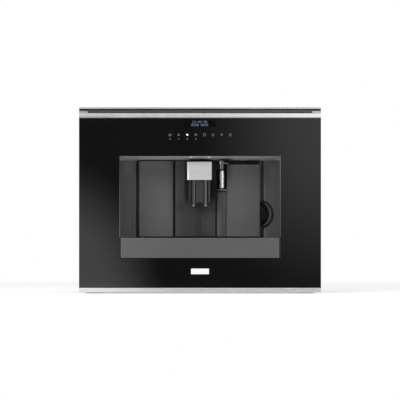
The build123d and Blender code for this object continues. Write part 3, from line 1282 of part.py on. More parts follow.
# ---------------------------------------------------------------------------------------
# Brew group: a frame with a fixed piston, and a chamber that the spindle lifts against it
# ---------------------------------------------------------------------------------------
FRAME_X = CHAMBER_R + 2 + CHEEK_T
FRAME_FRONT = BREW_Y - CHAMBER_R - 5
FRAME_BACK = BREW_Y + CHAMBER_R + 9
FRAME_TOP_T = 12.0
BREW_BASE_Z = DECK_Z + BREW_BASE_T
ARM_W = 12.0
ARM_H = 16.0
ARM_Z_LOW = CHAMBER_BOTTOM + 14.0
PISTON_BITE = 6.0
GEARBOX_X = 22.0
GEARBOX_H = 14.0
MOTOR_Y = SPINDLE_Y + 28.0
MOTOR_CAN_R = 17.0
POST_X = (28.0, 33.0)
BRIDGE_Z = (BREW_TOP - 12.0, BREW_TOP - 5.0)
BRIDGE_Y = (SPINDLE_Y - 7.0, SPINDLE_Y + 9.0)

with BuildPart() as infuser_frame:
    block(
        (BREW_X - FRAME_X, BREW_X + FRAME_X),
        (FRAME_FRONT, FRAME_BACK),
        (BREW_BASE_Z, BREW_TOP),
    )
    fillet(infuser_frame.edges().filter_by(Axis.X).group_by(Axis.Y)[0].sort_by(Axis.Z)[-1], 8)
    block(
        (BREW_X - FRAME_X + CHEEK_T, BREW_X + FRAME_X - CHEEK_T),
        (FRAME_FRONT - 1, FRAME_BACK - CHEEK_T),
        (BREW_BASE_Z - 1, BREW_TOP - FRAME_TOP_T),
        Mode.SUBTRACT,
    )
    block(
        (BREW_X - ARM_W / 2 - 1, BREW_X + ARM_W / 2 + 1),
        (FRAME_BACK - CHEEK_T - 1, FRAME_BACK + 1),
        (ARM_Z_LOW - 2, ARM_Z_LOW + ARM_H + BREW_LIFT + 2),
        Mode.SUBTRACT,
    )
    piston_low = CHAMBER_BOTTOM + CHAMBER_H + BREW_LIFT - PISTON_BITE
    rod("Z", (BREW_X, BREW_Y), CHAMBER_BORE_R - SLIDE_FIT, (piston_low, BREW_TOP - FRAME_TOP_T))
    slot_x = FUNNEL_OUT[0] / 2 - FUNNEL_T
    slot_y = FUNNEL_OUT[1] / 2 - FUNNEL_T
    block(
        (BREW_X - slot_x, BREW_X + slot_x),
        (POWDER_SLOT_Y - slot_y, POWDER_SLOT_Y + slot_y),
        (BREW_TOP - FRAME_TOP_T - 1, BREW_TOP + 1),
        Mode.SUBTRACT,
    )
    port_y = (DOOR_BACK_Y + DOOR_BACK_T + 0.3, FRAME_FRONT + 6)
    rod("Y", (SPOUT_X, PORT_Z), PORT_R - 3, port_y)
    rod("Y", (SPOUT_X, PORT_Z), PORT_R - 4, (DOOR_BACK_Y, BREW_Y), Mode.SUBTRACT)

with BuildPart() as brew_carriage:
    chamber_top = CHAMBER_BOTTOM + CHAMBER_H
    rod("Z", (BREW_X, BREW_Y), CHAMBER_R, (CHAMBER_BOTTOM, chamber_top))
    chamfer(brew_carriage.edges().filter_by(GeomType.CIRCLE).sort_by(Axis.Z)[-1], 2)
    arm_x = (BREW_X - ARM_W / 2, BREW_X + ARM_W / 2)
    arm_z = (ARM_Z_LOW, ARM_Z_LOW + ARM_H)
    block(arm_x, (BREW_Y, SPINDLE_Y), arm_z)
    rod("Z", (BREW_X, SPINDLE_Y), SPINDLE_R + 4, arm_z)
    rod("Z", (BREW_X, SPINDLE_Y), SPINDLE_R + PIN_FIT, (arm_z[0] - 1, arm_z[1] + 1), Mode.SUBTRACT)
    rod("Z", (BREW_X, BREW_Y), CHAMBER_BORE_R, (CHAMBER_BOTTOM + 8, chamber_top + 1), Mode.SUBTRACT)

with BuildPart() as brew_drive:
    block(
        (-CHANNEL_X - 8, CHANNEL_X + 8),
        (FRAME_FRONT - 2, MOTOR_Y + 18),
        (DECK_Z, BREW_BASE_Z),
    )
    block(
        (BREW_X - FRAME_X + CHEEK_T, BREW_X + FRAME_X - CHEEK_T),
        (FRAME_FRONT + 4, FRAME_BACK - CHEEK_T),
        (DECK_Z - 1, BREW_BASE_Z + 1),
        Mode.SUBTRACT,
    )
    block(
        (BREW_X - GEARBOX_X, BREW_X + GEARBOX_X),
        (SPINDLE_Y - 9, MOTOR_Y + 16),
        (BREW_BASE_Z, BREW_BASE_Z + GEARBOX_H),
    )
    for side in (-1, 1):
        post = sorted((BREW_X + side * POST_X[0], BREW_X + side * POST_X[1]))
        block(post, BRIDGE_Y, (BREW_BASE_Z, BRIDGE_Z[1]))
    block((BREW_X - POST_X[1], BREW_X + POST_X[1]), BRIDGE_Y, BRIDGE_Z)
    rod(
        "Z",
        (BREW_X, SPINDLE_Y),
        SPINDLE_R + PIN_FIT,
        (BREW_BASE_Z + 3, BRIDGE_Z[1] + 1),
        Mode.SUBTRACT,
    )

with BuildPart() as brew_spindle:
    rod("Z", (BREW_X, SPINDLE_Y), SPINDLE_R, (BREW_BASE_Z + 3.2, BRIDGE_Z[1] + 0.2))
    with BuildSketch(Plane.XY.offset(BRIDGE_Z[1] + 0.2)):
        with Locations((BREW_X, SPINDLE_Y)):
            RegularPolygon(SPINDLE_R + 1.5, 6)
    extrude(amount=4)

with BuildPart() as brew_motor:
    motor_z = BREW_BASE_Z + GEARBOX_H
    rod("Z", (BREW_X, MOTOR_Y), MOTOR_CAN_R, (motor_z, motor_z + 58))
    fillet(brew_motor.edges().filter_by(GeomType.CIRCLE).sort_by(Axis.Z)[-1], 3)
    rod("Z", (BREW_X, MOTOR_Y), 4, (motor_z + 58, motor_z + 62))

# ---------------------------------------------------------------------------------------
# Water and steam: boilers, pump, tank, dock and hoses
# ---------------------------------------------------------------------------------------
BOILER_Z = (DECK_Z + 12.0, DECK_Z + 84.0)
BOILER_D = 46.0
BOILER_OUT = 20.0  # behind the motor's axis
BOILER_Y = (MOTOR_Y + BOILER_OUT, MOTOR_Y + BOILER_OUT + BOILER_D)
COFFEE_BOILER_X = (-50.0, 34.0)
STEAM_BOILER_X = (62.0, 132.0)
HOSE_R = 3.0
HOSE_BEND = 18.0
HOSE_WALL_GAP = 20.0  # rearmost hose in front of the rear panel
FITTING_R = 5.0
FITTING_L = 8.0
PUMP_X = (-172.0, -88.0)
PUMP_Z = 52.0
PUMP_R = 21.0
DOCK_H = 44.7
DOCK_OUT_Z = DECK_Z + 20.0
VALVE_R = 6.0
RIB_PITCH = 9.0


def boiler(x, y, top_x):
    """A die-cast boiler: ribbed block on four feet with a hose fitting on top."""
    block(x, y, BOILER_Z)
    width, depth = x[1] - x[0], y[1] - y[0]
    mid = ((x[0] + x[1]) / 2, (y[0] + y[1]) / 2)
    with Locations((*mid, (BOILER_Z[0] + BOILER_Z[1]) / 2)):
        with GridLocations(RIB_PITCH, depth, int(width / RIB_PITCH) - 1, 2):
            Box(RIB_PITCH / 2, 8, BOILER_Z[1] - BOILER_Z[0] - 16, mode=Mode.SUBTRACT)
    with Locations((*mid, (DECK_Z + BOILER_Z[0]) / 2)):
        with GridLocations(width - 12, depth - 12, 2, 2):
            Cylinder(4, BOILER_Z[0] - DECK_Z)
    rod("Z", (top_x, mid[1]), FITTING_R, (BOILER_Z[1], BOILER_Z[1] + FITTING_L))


with BuildPart() as coffee_boiler:
    coffee_out_x = BREW_X + CHAMBER_R - 3
    boiler(COFFEE_BOILER_X, BOILER_Y, coffee_out_x)
    coffee_in = (COFFEE_BOILER_X[0] + 20, BOILER_Z[1] - 20)
    rod("Y", coffee_in, FITTING_R, (BOILER_Y[1] - 5, BOILER_Y[1] + FITTING_L))

with BuildPart() as steam_boiler:
    steam_out_x = (STEAM_BOILER_X[0] + STEAM_BOILER_X[1]) / 2
    boiler(STEAM_BOILER_X, BOILER_Y, steam_out_x)

with BuildPart() as water_pump:
    at = (PUMP_Y, PUMP_Z)
    rod("X", at, PUMP_R, (PUMP_X[0] + 22, PUMP_X[1] - 22))
    block((PUMP_X[0] + 22, PUMP_X[1] - 22), (PUMP_Y - 24, PUMP_Y + 24), (BASE_Z + SHEET, PUMP_Z - 12))
    rod("X", at, PUMP_R * 0.6, (PUMP_X[0] + 10, PUMP_X[1] - 10))
    rod("X", at, FITTING_R, PUMP_X)

with BuildPart() as tank_dock:
    dock_x = (TANK_X[0] - 1, TANK_X[1] + 1)
    dock_y = (TANK_Y[0] - 1, TANK_Y[1] + 1)
    block(dock_x, dock_y, (DECK_Z, DECK_Z + DOCK_H))
    fillet(tank_dock.edges().filter_by(Axis.Z), 6)
    offset(amount=-3, openings=tank_dock.faces().sort_by(Axis.Z)[0])
    tank_mid = (sum(TANK_X) / 2, sum(TANK_Y) / 2)
    rod("Z", tank_mid, VALVE_R, (DECK_Z + DOCK_H - 3, TANK_BOTTOM + 7))
    rod("Y", (DOCK_OUT_X, DOCK_OUT_Z), FITTING_R, (dock_y[1] - 2, dock_y[1] + FITTING_L))


def hose(*route):
    """A hose along straight runs joined by bends, from one fitting to the next."""
    with BuildLine() as path:
        FilletPolyline(*route, radius=HOSE_BEND)
    start = Vector(*route[0])
    with BuildSketch(Plane(origin=start, z_dir=Vector(*route[1]) - start)) as ring:
        Circle(HOSE_R)
    sweep(ring.sketch, path=path.wire())


with BuildPart() as hoses:
    dock_end = TANK_Y[1] + 1 + FITTING_L
    hose(
        (DOCK_OUT_X, dock_end, DOCK_OUT_Z),
        (DOCK_OUT_X, PUMP_Y, DOCK_OUT_Z),
        (DOCK_OUT_X, PUMP_Y, PUMP_Z),
        (PUMP_X[1], PUMP_Y, PUMP_Z),
    )
    riser_x = -DOCK_OUT_X
    cross_y = REAR_Y - HOSE_WALL_GAP
    hose(
        (PUMP_X[0], PUMP_Y, PUMP_Z),
        (riser_x, PUMP_Y, PUMP_Z),
        (riser_x, PUMP_Y, BOILER_Z[1] - 20),
        (riser_x + 60, cross_y, BOILER_Z[1] - 20),
        (coffee_in[0], cross_y, BOILER_Z[1] - 20),
        (coffee_in[0], BOILER_Y[1] + FITTING_L, BOILER_Z[1] - 20),
    )
    boiler_mid_y = sum(BOILER_Y) / 2
    over_brew = BREW_TOP + HOSE_BEND + 4
    hose(
        (coffee_out_x, boiler_mid_y, BOILER_Z[1] + FITTING_L),
        (coffee_out_x, boiler_mid_y, over_brew),
        (coffee_out_x, BREW_Y, over_brew),
        (coffee_out_x, BREW_Y, BREW_TOP),
    )
    hose(
        (steam_out_x, boiler_mid_y, BOILER_Z[1] + FITTING_L),
        (steam_out_x, boiler_mid_y, CONNECTOR_Z),
        (NOZZLE_X, boiler_mid_y, CONNECTOR_Z),
        (NOZZLE_X, THROAT_BACK_Y + 14, CONNECTOR_Z),
    )

with BuildPart() as water_tank:
    with BuildSketch(Plane.XY.offset(TANK_BOTTOM)) as plan:
        with Locations(tank_mid):
            RectangleRounded(TANK_X[1] - TANK_X[0], TANK_Y[1] - TANK_Y[0], 8)
    extrude(amount=TANK_TOP - TANK_BOTTOM)
    tank_rim_x = (TANK_X[0] - RIM_W, TANK_X[1] + RIM_W)
    tank_rim_y = (TANK_Y[0] - RIM_W, TANK_Y[1] + RIM_W)
    tank_rim_z = TOP_Z + LID_GAP
    with BuildSketch(Plane.XY.offset(tank_rim_z)):
        with Locations(tank_mid):
            RectangleRounded(tank_rim_x[1] - tank_rim_x[0], tank_rim_y[1] - tank_rim_y[0], 10)
    extrude(amount=TANK_TOP - tank_rim_z)
    with BuildSketch(Plane.XY.offset(TANK_BOTTOM + TANK_T)):
        offset(plan.sketch, amount=-TANK_T)
    extrude(amount=TANK_TOP, mode=Mode.SUBTRACT)
    rod("Z", tank_mid, VALVE_R + 3, (TANK_BOTTOM, TANK_BOTTOM + 10))
    rod("Z", tank_mid, VALVE_R + 0.5, (TANK_BOTTOM - 1, TANK_BOTTOM + 8), Mode.SUBTRACT)
    lid_ears((tank_rim_x[0] + 8, tank_rim_x[1] - 8), tank_rim_y[1], tank_rim_z)

with BuildPart() as tank_lid:
    inside = TANK_T + 1.0
    lid_plate(
        tank_rim_x,
        tank_rim_y,
        (TANK_X[0] + inside, TANK_X[1] - inside),
        (TANK_Y[0] + inside, TANK_Y[1] - inside),
    )

# ---------------------------------------------------------------------------------------
# Electrics: control board, power inlet with its switch
# ---------------------------------------------------------------------------------------
BOARD_L = 210.0
BOARD_Y = (THROAT_BACK_Y + 10.0, THROAT_BACK_Y + 10.0 + BOARD_L)
BOARD_Z = (42.0, 128.0)
STANDOFF = 6.0
BOARD_T = 1.6
MODULE_X = (INLET_X - INLET_FLANGE_W / 2, SWITCH_X + 11.0)
PLASTIC_FIT = 0.3
ROCKER_Y = REAR_Y - 6.0
ROCKER_W = 9.0
ROCKER_H = 14.0
ROCKER_TILT = 10.0
ROCKER_PIN_R = 1.2

with BuildPart() as control_board:
    board_x = -INNER_X + STANDOFF
    block((board_x, board_x + BOARD_T), BOARD_Y, BOARD_Z)
    for y in (BOARD_Y[0] + 6, BOARD_Y[1] - 6):
        for z in (BOARD_Z[0] + 6, BOARD_Z[1] - 6):
            rod("X", (y, z), 3, (-INNER_X, board_x))
    front_x = board_x + BOARD_T
    start_y, start_z = BOARD_Y[0], BOARD_Z[0]
    transformer_y = (start_y + BOARD_L * 2 / 3, start_y + BOARD_L * 2 / 3 + 45)
    block((front_x, front_x + 30), transformer_y, (start_z + 18, start_z + 58))
    heat_sink_y = (start_y + BOARD_L / 3, start_y + BOARD_L / 3 + 8)
    block((front_x, front_x + 22), heat_sink_y, (start_z + 13, BOARD_Z[1] - 13))
    for step in (0.1, 0.2, 0.47, 0.55):
        rod("X", (start_y + step * BOARD_L, start_z + 28), 7, (front_x, front_x + 24))
    for step in (0.15, 0.43, 0.71, 0.9):
        plug_y = start_y + step * BOARD_L
        block((front_x, front_x + 9), (plug_y - 9, plug_y + 9), (BOARD_Z[1] - 16, BOARD_Z[1] - 8))

with BuildPart() as inlet_socket:
    block(MODULE_X, (REAR_Y, BACK_Y), (INLET_Z - INLET_FLANGE_H / 2, INLET_Z + INLET_FLANGE_H / 2))
    fillet(inlet_socket.edges().filter_by(Axis.Y), 3)
    inlet_half = (INLET_W / 2 - PLASTIC_FIT, INLET_H / 2 - PLASTIC_FIT)
    block(
        (INLET_X - inlet_half[0], INLET_X + inlet_half[0]),
        (REAR_Y - INLET_D + REAR_PROUD, REAR_Y),
        (INLET_Z - inlet_half[1], INLET_Z + inlet_half[1]),
    )
    block(
        (INLET_X - inlet_half[0] + 2, INLET_X + inlet_half[0] - 2),
        (REAR_Y - INLET_D + REAR_PROUD + 8, BACK_Y + 1),
        (INLET_Z - inlet_half[1] + 2, INLET_Z + inlet_half[1] - 2),
        Mode.SUBTRACT,
    )
    pin_y = (REAR_Y - INLET_D + REAR_PROUD + 7, BACK_Y - 8)
    for x, z in ((-7, -1.5), (0, 3), (7, -1.5)):
        at = (INLET_X + x, INLET_Z + z)
        block((at[0] - 1, at[0] + 1), pin_y, (at[1] - 2, at[1] + 2))
    switch_half = (SWITCH_W / 2 - PLASTIC_FIT, SWITCH_H / 2 - PLASTIC_FIT)
    block(
        (SWITCH_X - switch_half[0], SWITCH_X + switch_half[0]),
        (REAR_Y - 18, REAR_Y),
        (INLET_Z - switch_half[1], INLET_Z + switch_half[1]),
    )
    block(
        (SWITCH_X - ROCKER_W / 2 - PLASTIC_FIT, SWITCH_X + ROCKER_W / 2 + PLASTIC_FIT),
        (ROCKER_Y - 5, BACK_Y + 1),
        (INLET_Z - switch_half[1] + 0.8, INLET_Z + switch_half[1] - 0.8),
        Mode.SUBTRACT,
    )
    pivot = (ROCKER_Y, INLET_Z)
    pivot_x = (SWITCH_X - switch_half[0] + 0.4, SWITCH_X + switch_half[0] - 0.4)
    rod("X", pivot, ROCKER_PIN_R + PIN_FIT, pivot_x, Mode.SUBTRACT)

with BuildPart() as power_rocker:
    rocker_origin = (SWITCH_X - ROCKER_W / 2, ROCKER_Y, INLET_Z)
    tilt = radians(ROCKER_TILT)
    with BuildSketch(Plane(rocker_origin, x_dir=(0, cos(tilt), sin(tilt)), z_dir=(1, 0, 0))):
        with BuildLine():
            Polyline(
                (-2, -ROCKER_H / 2 + 1),
                (5.6, -ROCKER_H / 2),
                (4.2, 0),
                (5.6, ROCKER_H / 2),
                (-2, ROCKER_H / 2 - 1),
                close=True,
            )
        make_face()
    extrude(amount=ROCKER_W)
    rod("X", pivot, ROCKER_PIN_R, (pivot_x[0] + 0.1, pivot_x[1] - 0.1))

# ---------------------------------------------------------------------------------------
# The finished pieces, one file each
# ---------------------------------------------------------------------------------------
PIECES = {
    "cabinet_rails": cabinet_rails,
    "middle_rails": middle_rails,
    "machine_rails": machine_rails,
    "base_pan": base_pan,
    "side_panel_left": side_panel_left,
    "side_panel_right": side_panel_right,
    "rear_panel": rear_panel,
    "rear_screws": rear_screws,
    "top_panel": top_panel,
    "inner_deck": inner_deck,
    "front_carrier": front_carrier,
    "front_glass": front_glass,
    "top_profile": top_profile,
    "channel_end_caps": channel_end_caps,
    "bottom_trim": bottom_trim,
    "niche_bezel": niche_bezel,
    "brand_plate": brand_plate,
    "display_module": display_module,
    "touch_board": touch_board,
    "niche_liner": niche_liner,
    "cup_lights": cup_lights,
    "throat_frame": throat_frame,
    "hinge_pins": hinge_pins,
    "door_catch": door_catch,
    "finger_scoop": finger_scoop,
    "service_door": service_door,
    "door_back": door_back,
    "spout_cover": spout_cover,
    "spout_unit": spout_unit,
    "coffee_outlets": coffee_outlets,
    "steam_outlet": steam_outlet,
    "hot_water_nozzle": hot_water_nozzle,
    "drip_tray": drip_tray,
    "tray_front": tray_front,
    "tray_grille": tray_grille,
    "level_float": level_float,
    "grounds_container": grounds_container,
    "bean_hopper": bean_hopper,
    "hopper_lid": hopper_lid,
    "grind_knob": grind_knob,
    "grinder_housing": grinder_housing,
    "grinder_burr": grinder_burr,
    "grinder_motor": grinder_motor,
    "powder_funnel": powder_funnel,
    "funnel_lid": funnel_lid,
    "infuser_frame": infuser_frame,
    "brew_carriage": brew_carriage,
    "brew_spindle": brew_spindle,
    "brew_drive": brew_drive,
    "brew_motor": brew_motor,
    "coffee_boiler": coffee_boiler,
    "steam_boiler": steam_boiler,
    "water_pump": water_pump,
    "control_board": control_board,
    "tank_dock": tank_dock,
    "water_tank": water_tank,
    "tank_lid": tank_lid,
    "hoses": hoses,
    "inlet_socket": inlet_socket,
    "power_rocker": power_rocker,
}

for name, piece in PIECES.items():
    piece.part.label = name
    export_step(piece.part, f"parts/{name}.step")
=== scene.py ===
import math

import bmesh
import bpy
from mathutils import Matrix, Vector


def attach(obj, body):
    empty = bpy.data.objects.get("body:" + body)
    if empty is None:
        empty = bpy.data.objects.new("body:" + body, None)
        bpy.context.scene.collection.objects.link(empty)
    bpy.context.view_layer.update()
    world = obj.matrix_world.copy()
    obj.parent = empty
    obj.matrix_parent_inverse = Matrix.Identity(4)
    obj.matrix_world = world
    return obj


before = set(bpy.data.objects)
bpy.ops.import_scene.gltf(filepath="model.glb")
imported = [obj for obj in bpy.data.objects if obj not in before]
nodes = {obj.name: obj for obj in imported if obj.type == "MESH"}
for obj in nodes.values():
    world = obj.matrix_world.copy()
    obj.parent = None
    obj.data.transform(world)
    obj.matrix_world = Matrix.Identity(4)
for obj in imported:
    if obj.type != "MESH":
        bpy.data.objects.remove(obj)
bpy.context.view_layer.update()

MM = 0.001

# ---------------------------------------------------------------------------------------
# Places on the machine in mm: x to the right, y to the back, z up
# ---------------------------------------------------------------------------------------
GLASS_Y = -198.0  # face of the glass
BEZEL_HIGHLIGHT_X = 196.7  # from here outwards the niche's bezel has a painted highlight
TRIM_TOP_SHADOW_Z = (12.9, 16)  # painted shadow line along the upper edge of the bottom trim

# top profile: a bar, the finger channel of the pull handle over it, and a lip
CHANNEL_Z = (443.3, 453.7)
CHANNEL_EDGE_SHADE_Z = (CHANNEL_Z[0] - 1.4, CHANNEL_Z[0] + 0.2)  # painted shade on the bar's rounded upper edge
# painted shade on the lip's upper edge and the bar's lower edge, and a painted shadow line
# under the bar
LIP_EDGE_SHADE_Z = (455.4, 460)
BAR_FOOT_SHADE_Z = (428, 433.4)
BAR_UNDERSIDE_SHADOW_Z = (428, 431.2)

# niche
LINER_FRONT = -190.0
LINER_BACK = -84.0
LINER_BACK_X = 157.4
CEILING_FOOT_Z = (326.8, 327.8)  # where the sloped ceiling begins, at the back
SCOOP_X, SCOOP_Z, SCOOP_R = 141.8, 194.5, 30.6  # axis and radius of the finger scoop
TRAY_LIP_SHADOW_Z = (135.9, 140)  # painted shadow line along the upper edge of the tray front

# service door: left panel, groove, concave centre, groove, raised column, right panel
DOOR_X = (-150.6, 148.0)
DOOR_CHAMFER = 1.0
CENTRE_X = (-61.5, 38.1)
COLUMN_X = (41.8, 65.9)
GROOVE_LEFT_X = (-66.9, CENTRE_X[0] + 0.9)
GROOVE_RIGHT_X = (CENTRE_X[1], COLUMN_X[0])
SPLIT_Z = (248.9, 252.6)  # shadow gap across the column
SPLIT_LIT_Z = (SPLIT_Z[1], 258)  # painted light on the band over that gap

# throat frame, seen beside the door, with painted light on it in the gaps
GAP_LEFT_X = (-155.0, DOOR_X[0])
GAP_RIGHT_X = (DOOR_X[1], 155.2)
GAP_LIT_X = (DOOR_X[1], 150.4)

# spout cover, and the nozzle unit under it
# painted highlight on the cover's rounded left edge
COVER_EDGE_HIGHLIGHT_X = (-31.7, -27.2)
UNIT_MIDDLE_X = (-9, 8)
# painted shade in the recesses, painted highlights on the tubes' edges and on a side ridge
UNIT_RECESS_SHADE_X = ((-22.8, -20.4), (18.2, 20.6))
UNIT_EDGE_HIGHLIGHT_X = ((-15.6, -12.4), (12.2, 15.8))
UNIT_SIDE_HIGHLIGHT_X = (21.2, 24.2)

# hot-water nozzle: a bright tube under a moulded holder
TUBE_TOP = 301.5
HOLDER_FOOT = 306
# painted highlight on the holder's left edge
HOLDER_HIGHLIGHT_X = (48.0, 51.9)
HOLDER_HIGHLIGHT_Z = (HOLDER_FOOT, 330)


# ---------------------------------------------------------------------------------------
# Shader nodes
# ---------------------------------------------------------------------------------------
NOISE_SPAN = (0.3, 0.7)  # most of a noise texture's values lie between these


def new_material(name):
    mat = bpy.data.materials.new(name)
    mat.use_nodes = True
    tree = mat.node_tree
    return mat, tree, tree.nodes["Principled BSDF"]


def link(tree, source, target):
    tree.links.new(source, target)


def place(tree, stretch=(1, 1, 1)):
    """Object coordinates, stretched along the axes."""
    coords = tree.nodes.new("ShaderNodeTexCoord")
    mapping = tree.nodes.new("ShaderNodeMapping")
    mapping.inputs["Scale"].default_value = stretch
    link(tree, coords.outputs["Object"], mapping.inputs["Vector"])
    return mapping.outputs["Vector"]


def split_coords(tree, kind):
    coords = tree.nodes.new("ShaderNodeTexCoord")
    split = tree.nodes.new("ShaderNodeSeparateXYZ")
    link(tree, coords.outputs[kind], split.inputs[0])
    return split.outputs


def axes(tree):
    """Object coordinates in metres, as outputs X, Y and Z."""
    return split_coords(tree, "Object")


def facing(tree):
    """The surface's direction in the object's own axes, as outputs X, Y and Z."""
    return split_coords(tree, "Normal")


def noise(tree, vector, scale, detail=3.0, rough=0.5):
    node = tree.nodes.new("ShaderNodeTexNoise")
    node.inputs["Scale"].default_value = scale
    node.inputs["Detail"].default_value = detail
    node.inputs["Roughness"].default_value = rough
    link(tree, vector, node.inputs["Vector"])
    return node.outputs["Fac"]


def spread(tree, value, low, high, source=NOISE_SPAN):
    """A value's range in source, spread between low and high."""
    node = tree.nodes.new("ShaderNodeMapRange")
    node.inputs["From Min"].default_value = source[0]
    node.inputs["From Max"].default_value = source[1]
    node.inputs["To Min"].default_value = low
    node.inputs["To Max"].default_value = high
    link(tree, value, node.inputs["Value"])
    return node.outputs["Result"]


def rise(tree, value, low, high):
    """0 below low and 1 above high, or the other way round where low is the larger."""
    node = tree.nodes.new("ShaderNodeMapRange")
    node.interpolation_type = "SMOOTHSTEP"
    node.inputs["From Min"].default_value = min(low, high)
    node.inputs["From Max"].default_value = max(low, high)
    node.inputs["To Min"].default_value = 0.0 if low < high else 1.0
    node.inputs["To Max"].default_value = 1.0 if low < high else 0.0
    link(tree, value, node.inputs["Value"])
    return node.outputs["Result"]


def tint(tree, value, colour, dark, light):
    """A colour whose lightness goes from dark to light (as shares of it) over a noise."""
    ramp = tree.nodes.new("ShaderNodeValToRGB")
    for element, position, share in zip(ramp.color_ramp.elements, NOISE_SPAN, (dark, light)):
        element.position = position
        element.color = (*(min(1.0, channel * share) for channel in colour), 1)
    link(tree, value, ramp.inputs["Fac"])
    return ramp.outputs["Color"]


def bump(tree, shader, height, strength, distance):
    node = tree.nodes.new("ShaderNodeBump")
    node.inputs["Strength"].default_value = strength
    node.inputs["Distance"].default_value = distance
    link(tree, height, node.inputs["Height"])
    link(tree, node.outputs["Normal"], shader.inputs["Normal"])


def maths(tree, operation, *values):
    node = tree.nodes.new("ShaderNodeMath")
    node.operation = operation
    for socket, value in zip(node.inputs, values):
        if isinstance(value, (int, float)):
            socket.default_value = value
        else:
            link(tree, value, socket)
    return node.outputs[0]


def all_of(tree, *masks):
    result = masks[0]
    for mask in masks[1:]:
        result = maths(tree, "MULTIPLY", result, mask)
    return result


def length_of(tree, *parts):
    """The length of a vector with these parts."""
    square = 0.0
    for part in parts:
        square = maths(tree, "ADD", maths(tree, "MULTIPLY", part, part), square)
    return maths(tree, "SQRT", square)


def emission(tree, strength):
    """A white light shader; the strength is a number or an output."""
    node = tree.nodes.new("ShaderNodeEmission")
    if isinstance(strength, float):
        node.inputs["Strength"].default_value = strength
    else:
        link(tree, strength, node.inputs["Strength"])
    return node.outputs[0]


def mixed(tree, factor, first, second):
    """The first shader where the factor is 0, the second where it is 1."""
    node = tree.nodes.new("ShaderNodeMixShader")
    for source, target in zip((factor, first, second), node.inputs):
        link(tree, source, target)
    return node.outputs[0]


def grey(level):
    return (level, level, level)


# ---------------------------------------------------------------------------------------
# Kinds of material. rough is the middle roughness, vary how far the colour wanders and
# grain the strength of the bump. Bump distances are in metres.
# ---------------------------------------------------------------------------------------
def moulded(name, colour, rough=0.45, grain=0.1, vary=0.05, specular=0.5):
    """Moulded plastic: fine spark-eroded grain, slight mottle, uneven sheen."""
    mat, tree, shader = new_material(name)
    where = place(tree)
    cloud = noise(tree, where, scale=9.0, detail=4.0)
    fine = noise(tree, where, scale=1600.0, detail=2.0, rough=0.6)
    wear = noise(tree, where, scale=45.0, detail=5.0, rough=0.65)
    link(tree, tint(tree, cloud, colour, 1 - vary, 1 + vary), shader.inputs["Base Color"])
    link(tree, spread(tree, wear, rough - 0.05, rough + 0.06), shader.inputs["Roughness"])
    shader.inputs["Specular IOR Level"].default_value = specular
    bump(tree, shader, fine, grain, distance=0.0002)
    return mat


def brushed(name, colour, rough=0.3, along=0, grain=0.25, vary=0.05, flow=0.6):
    """Brushed metal: long streaks along one axis in colour, roughness and bump."""
    mat, tree, shader = new_material(name)
    stretch = [700.0, 700.0, 700.0]
    stretch[along] = 6.0
    streak = noise(tree, place(tree, stretch), scale=1.0, detail=4.0, rough=0.6)
    cloud = noise(tree, place(tree), scale=14.0, detail=4.0)
    link(tree, tint(tree, streak, colour, 1 - vary, 1 + vary), shader.inputs["Base Color"])
    along_streaks = spread(tree, streak, rough - 0.05, rough + 0.05)
    in_clouds = spread(tree, cloud, -0.03, 0.03)
    link(tree, maths(tree, "ADD", along_streaks, in_clouds), shader.inputs["Roughness"])
    shader.inputs["Metallic"].default_value = 1.0
    shader.inputs["Anisotropic"].default_value = flow
    bump(tree, shader, streak, grain, distance=0.00005)
    return mat


def zinc(name, colour, rough=0.38):
    """Galvanised sheet: crystals that differ a little in tone and gloss."""
    mat, tree, shader = new_material(name)
    where = place(tree)
    crystals = tree.nodes.new("ShaderNodeTexVoronoi")
    crystals.inputs["Scale"].default_value = 165.0
    crystals.inputs["Randomness"].default_value = 1.0
    link(tree, where, crystals.inputs["Vector"])
    random = tree.nodes.new("ShaderNodeSeparateColor")
    link(tree, crystals.outputs["Color"], random.inputs["Color"])
    tone, gloss = random.outputs["Red"], random.outputs["Green"]
    link(tree, tint(tree, tone, colour, 0.95, 1.04), shader.inputs["Base Color"])
    sheen = spread(tree, gloss, rough - 0.07, rough + 0.08, source=(0, 1))
    link(tree, sheen, shader.inputs["Roughness"])
    shader.inputs["Metallic"].default_value = 0.7
    bump(tree, shader, noise(tree, where, scale=240.0), strength=0.08, distance=0.0003)
    return mat


def clear(name, colour, rough=0.04, see=0.9):
    """Clear moulded plastic with a faint flow in its surface."""
    mat, tree, shader = new_material(name)
    where = place(tree)
    cloud = noise(tree, where, scale=22.0)
    link(tree, tint(tree, cloud, colour, 0.96, 1.03), shader.inputs["Base Color"])
    link(tree, spread(tree, cloud, rough, rough + 0.05), shader.inputs["Roughness"])
    shader.inputs["Transmission Weight"].default_value = see
    shader.inputs["IOR"].default_value = 1.46
    flow = noise(tree, where, scale=60.0, detail=2.0)
    bump(tree, shader, flow, strength=0.03, distance=0.0004)
    return mat


def glowing(name, colour, strength, off=(0.02, 0.02, 0.02)):
    """A sign or a lens lit from behind, a little unevenly; off is its own colour."""
    mat, tree, shader = new_material(name)
    shader.inputs["Base Color"].default_value = (*off, 1)
    shader.inputs["Roughness"].default_value = 0.35
    shader.inputs["Emission Color"].default_value = (*colour, 1)
    uneven = noise(tree, place(tree), scale=220.0, detail=2.0)
    lit = spread(tree, uneven, strength * 0.8, strength * 1.1)
    link(tree, lit, shader.inputs["Emission Strength"])
    return mat


def black_glass(name):
    """Glass printed black on its back: deep, polished, with a trace of wiping marks."""
    mat, tree, shader = new_material(name)
    where = place(tree)
    cloud = noise(tree, where, scale=5.0, detail=4.0)
    ink = (0.0028, 0.0028, 0.0031)
    link(tree, tint(tree, cloud, ink, 0.786, 1.214), shader.inputs["Base Color"])
    wiped = noise(tree, place(tree, (4.0, 1.0, 30.0)), scale=3.0, detail=6.0, rough=0.7)
    link(tree, spread(tree, wiped, 0.045, 0.085), shader.inputs["Roughness"])
    shader.inputs["IOR"].default_value = 1.58
    wave = noise(tree, where, scale=4.0, detail=1.0)
    bump(tree, shader, wave, strength=0.02, distance=0.0006)
    return mat


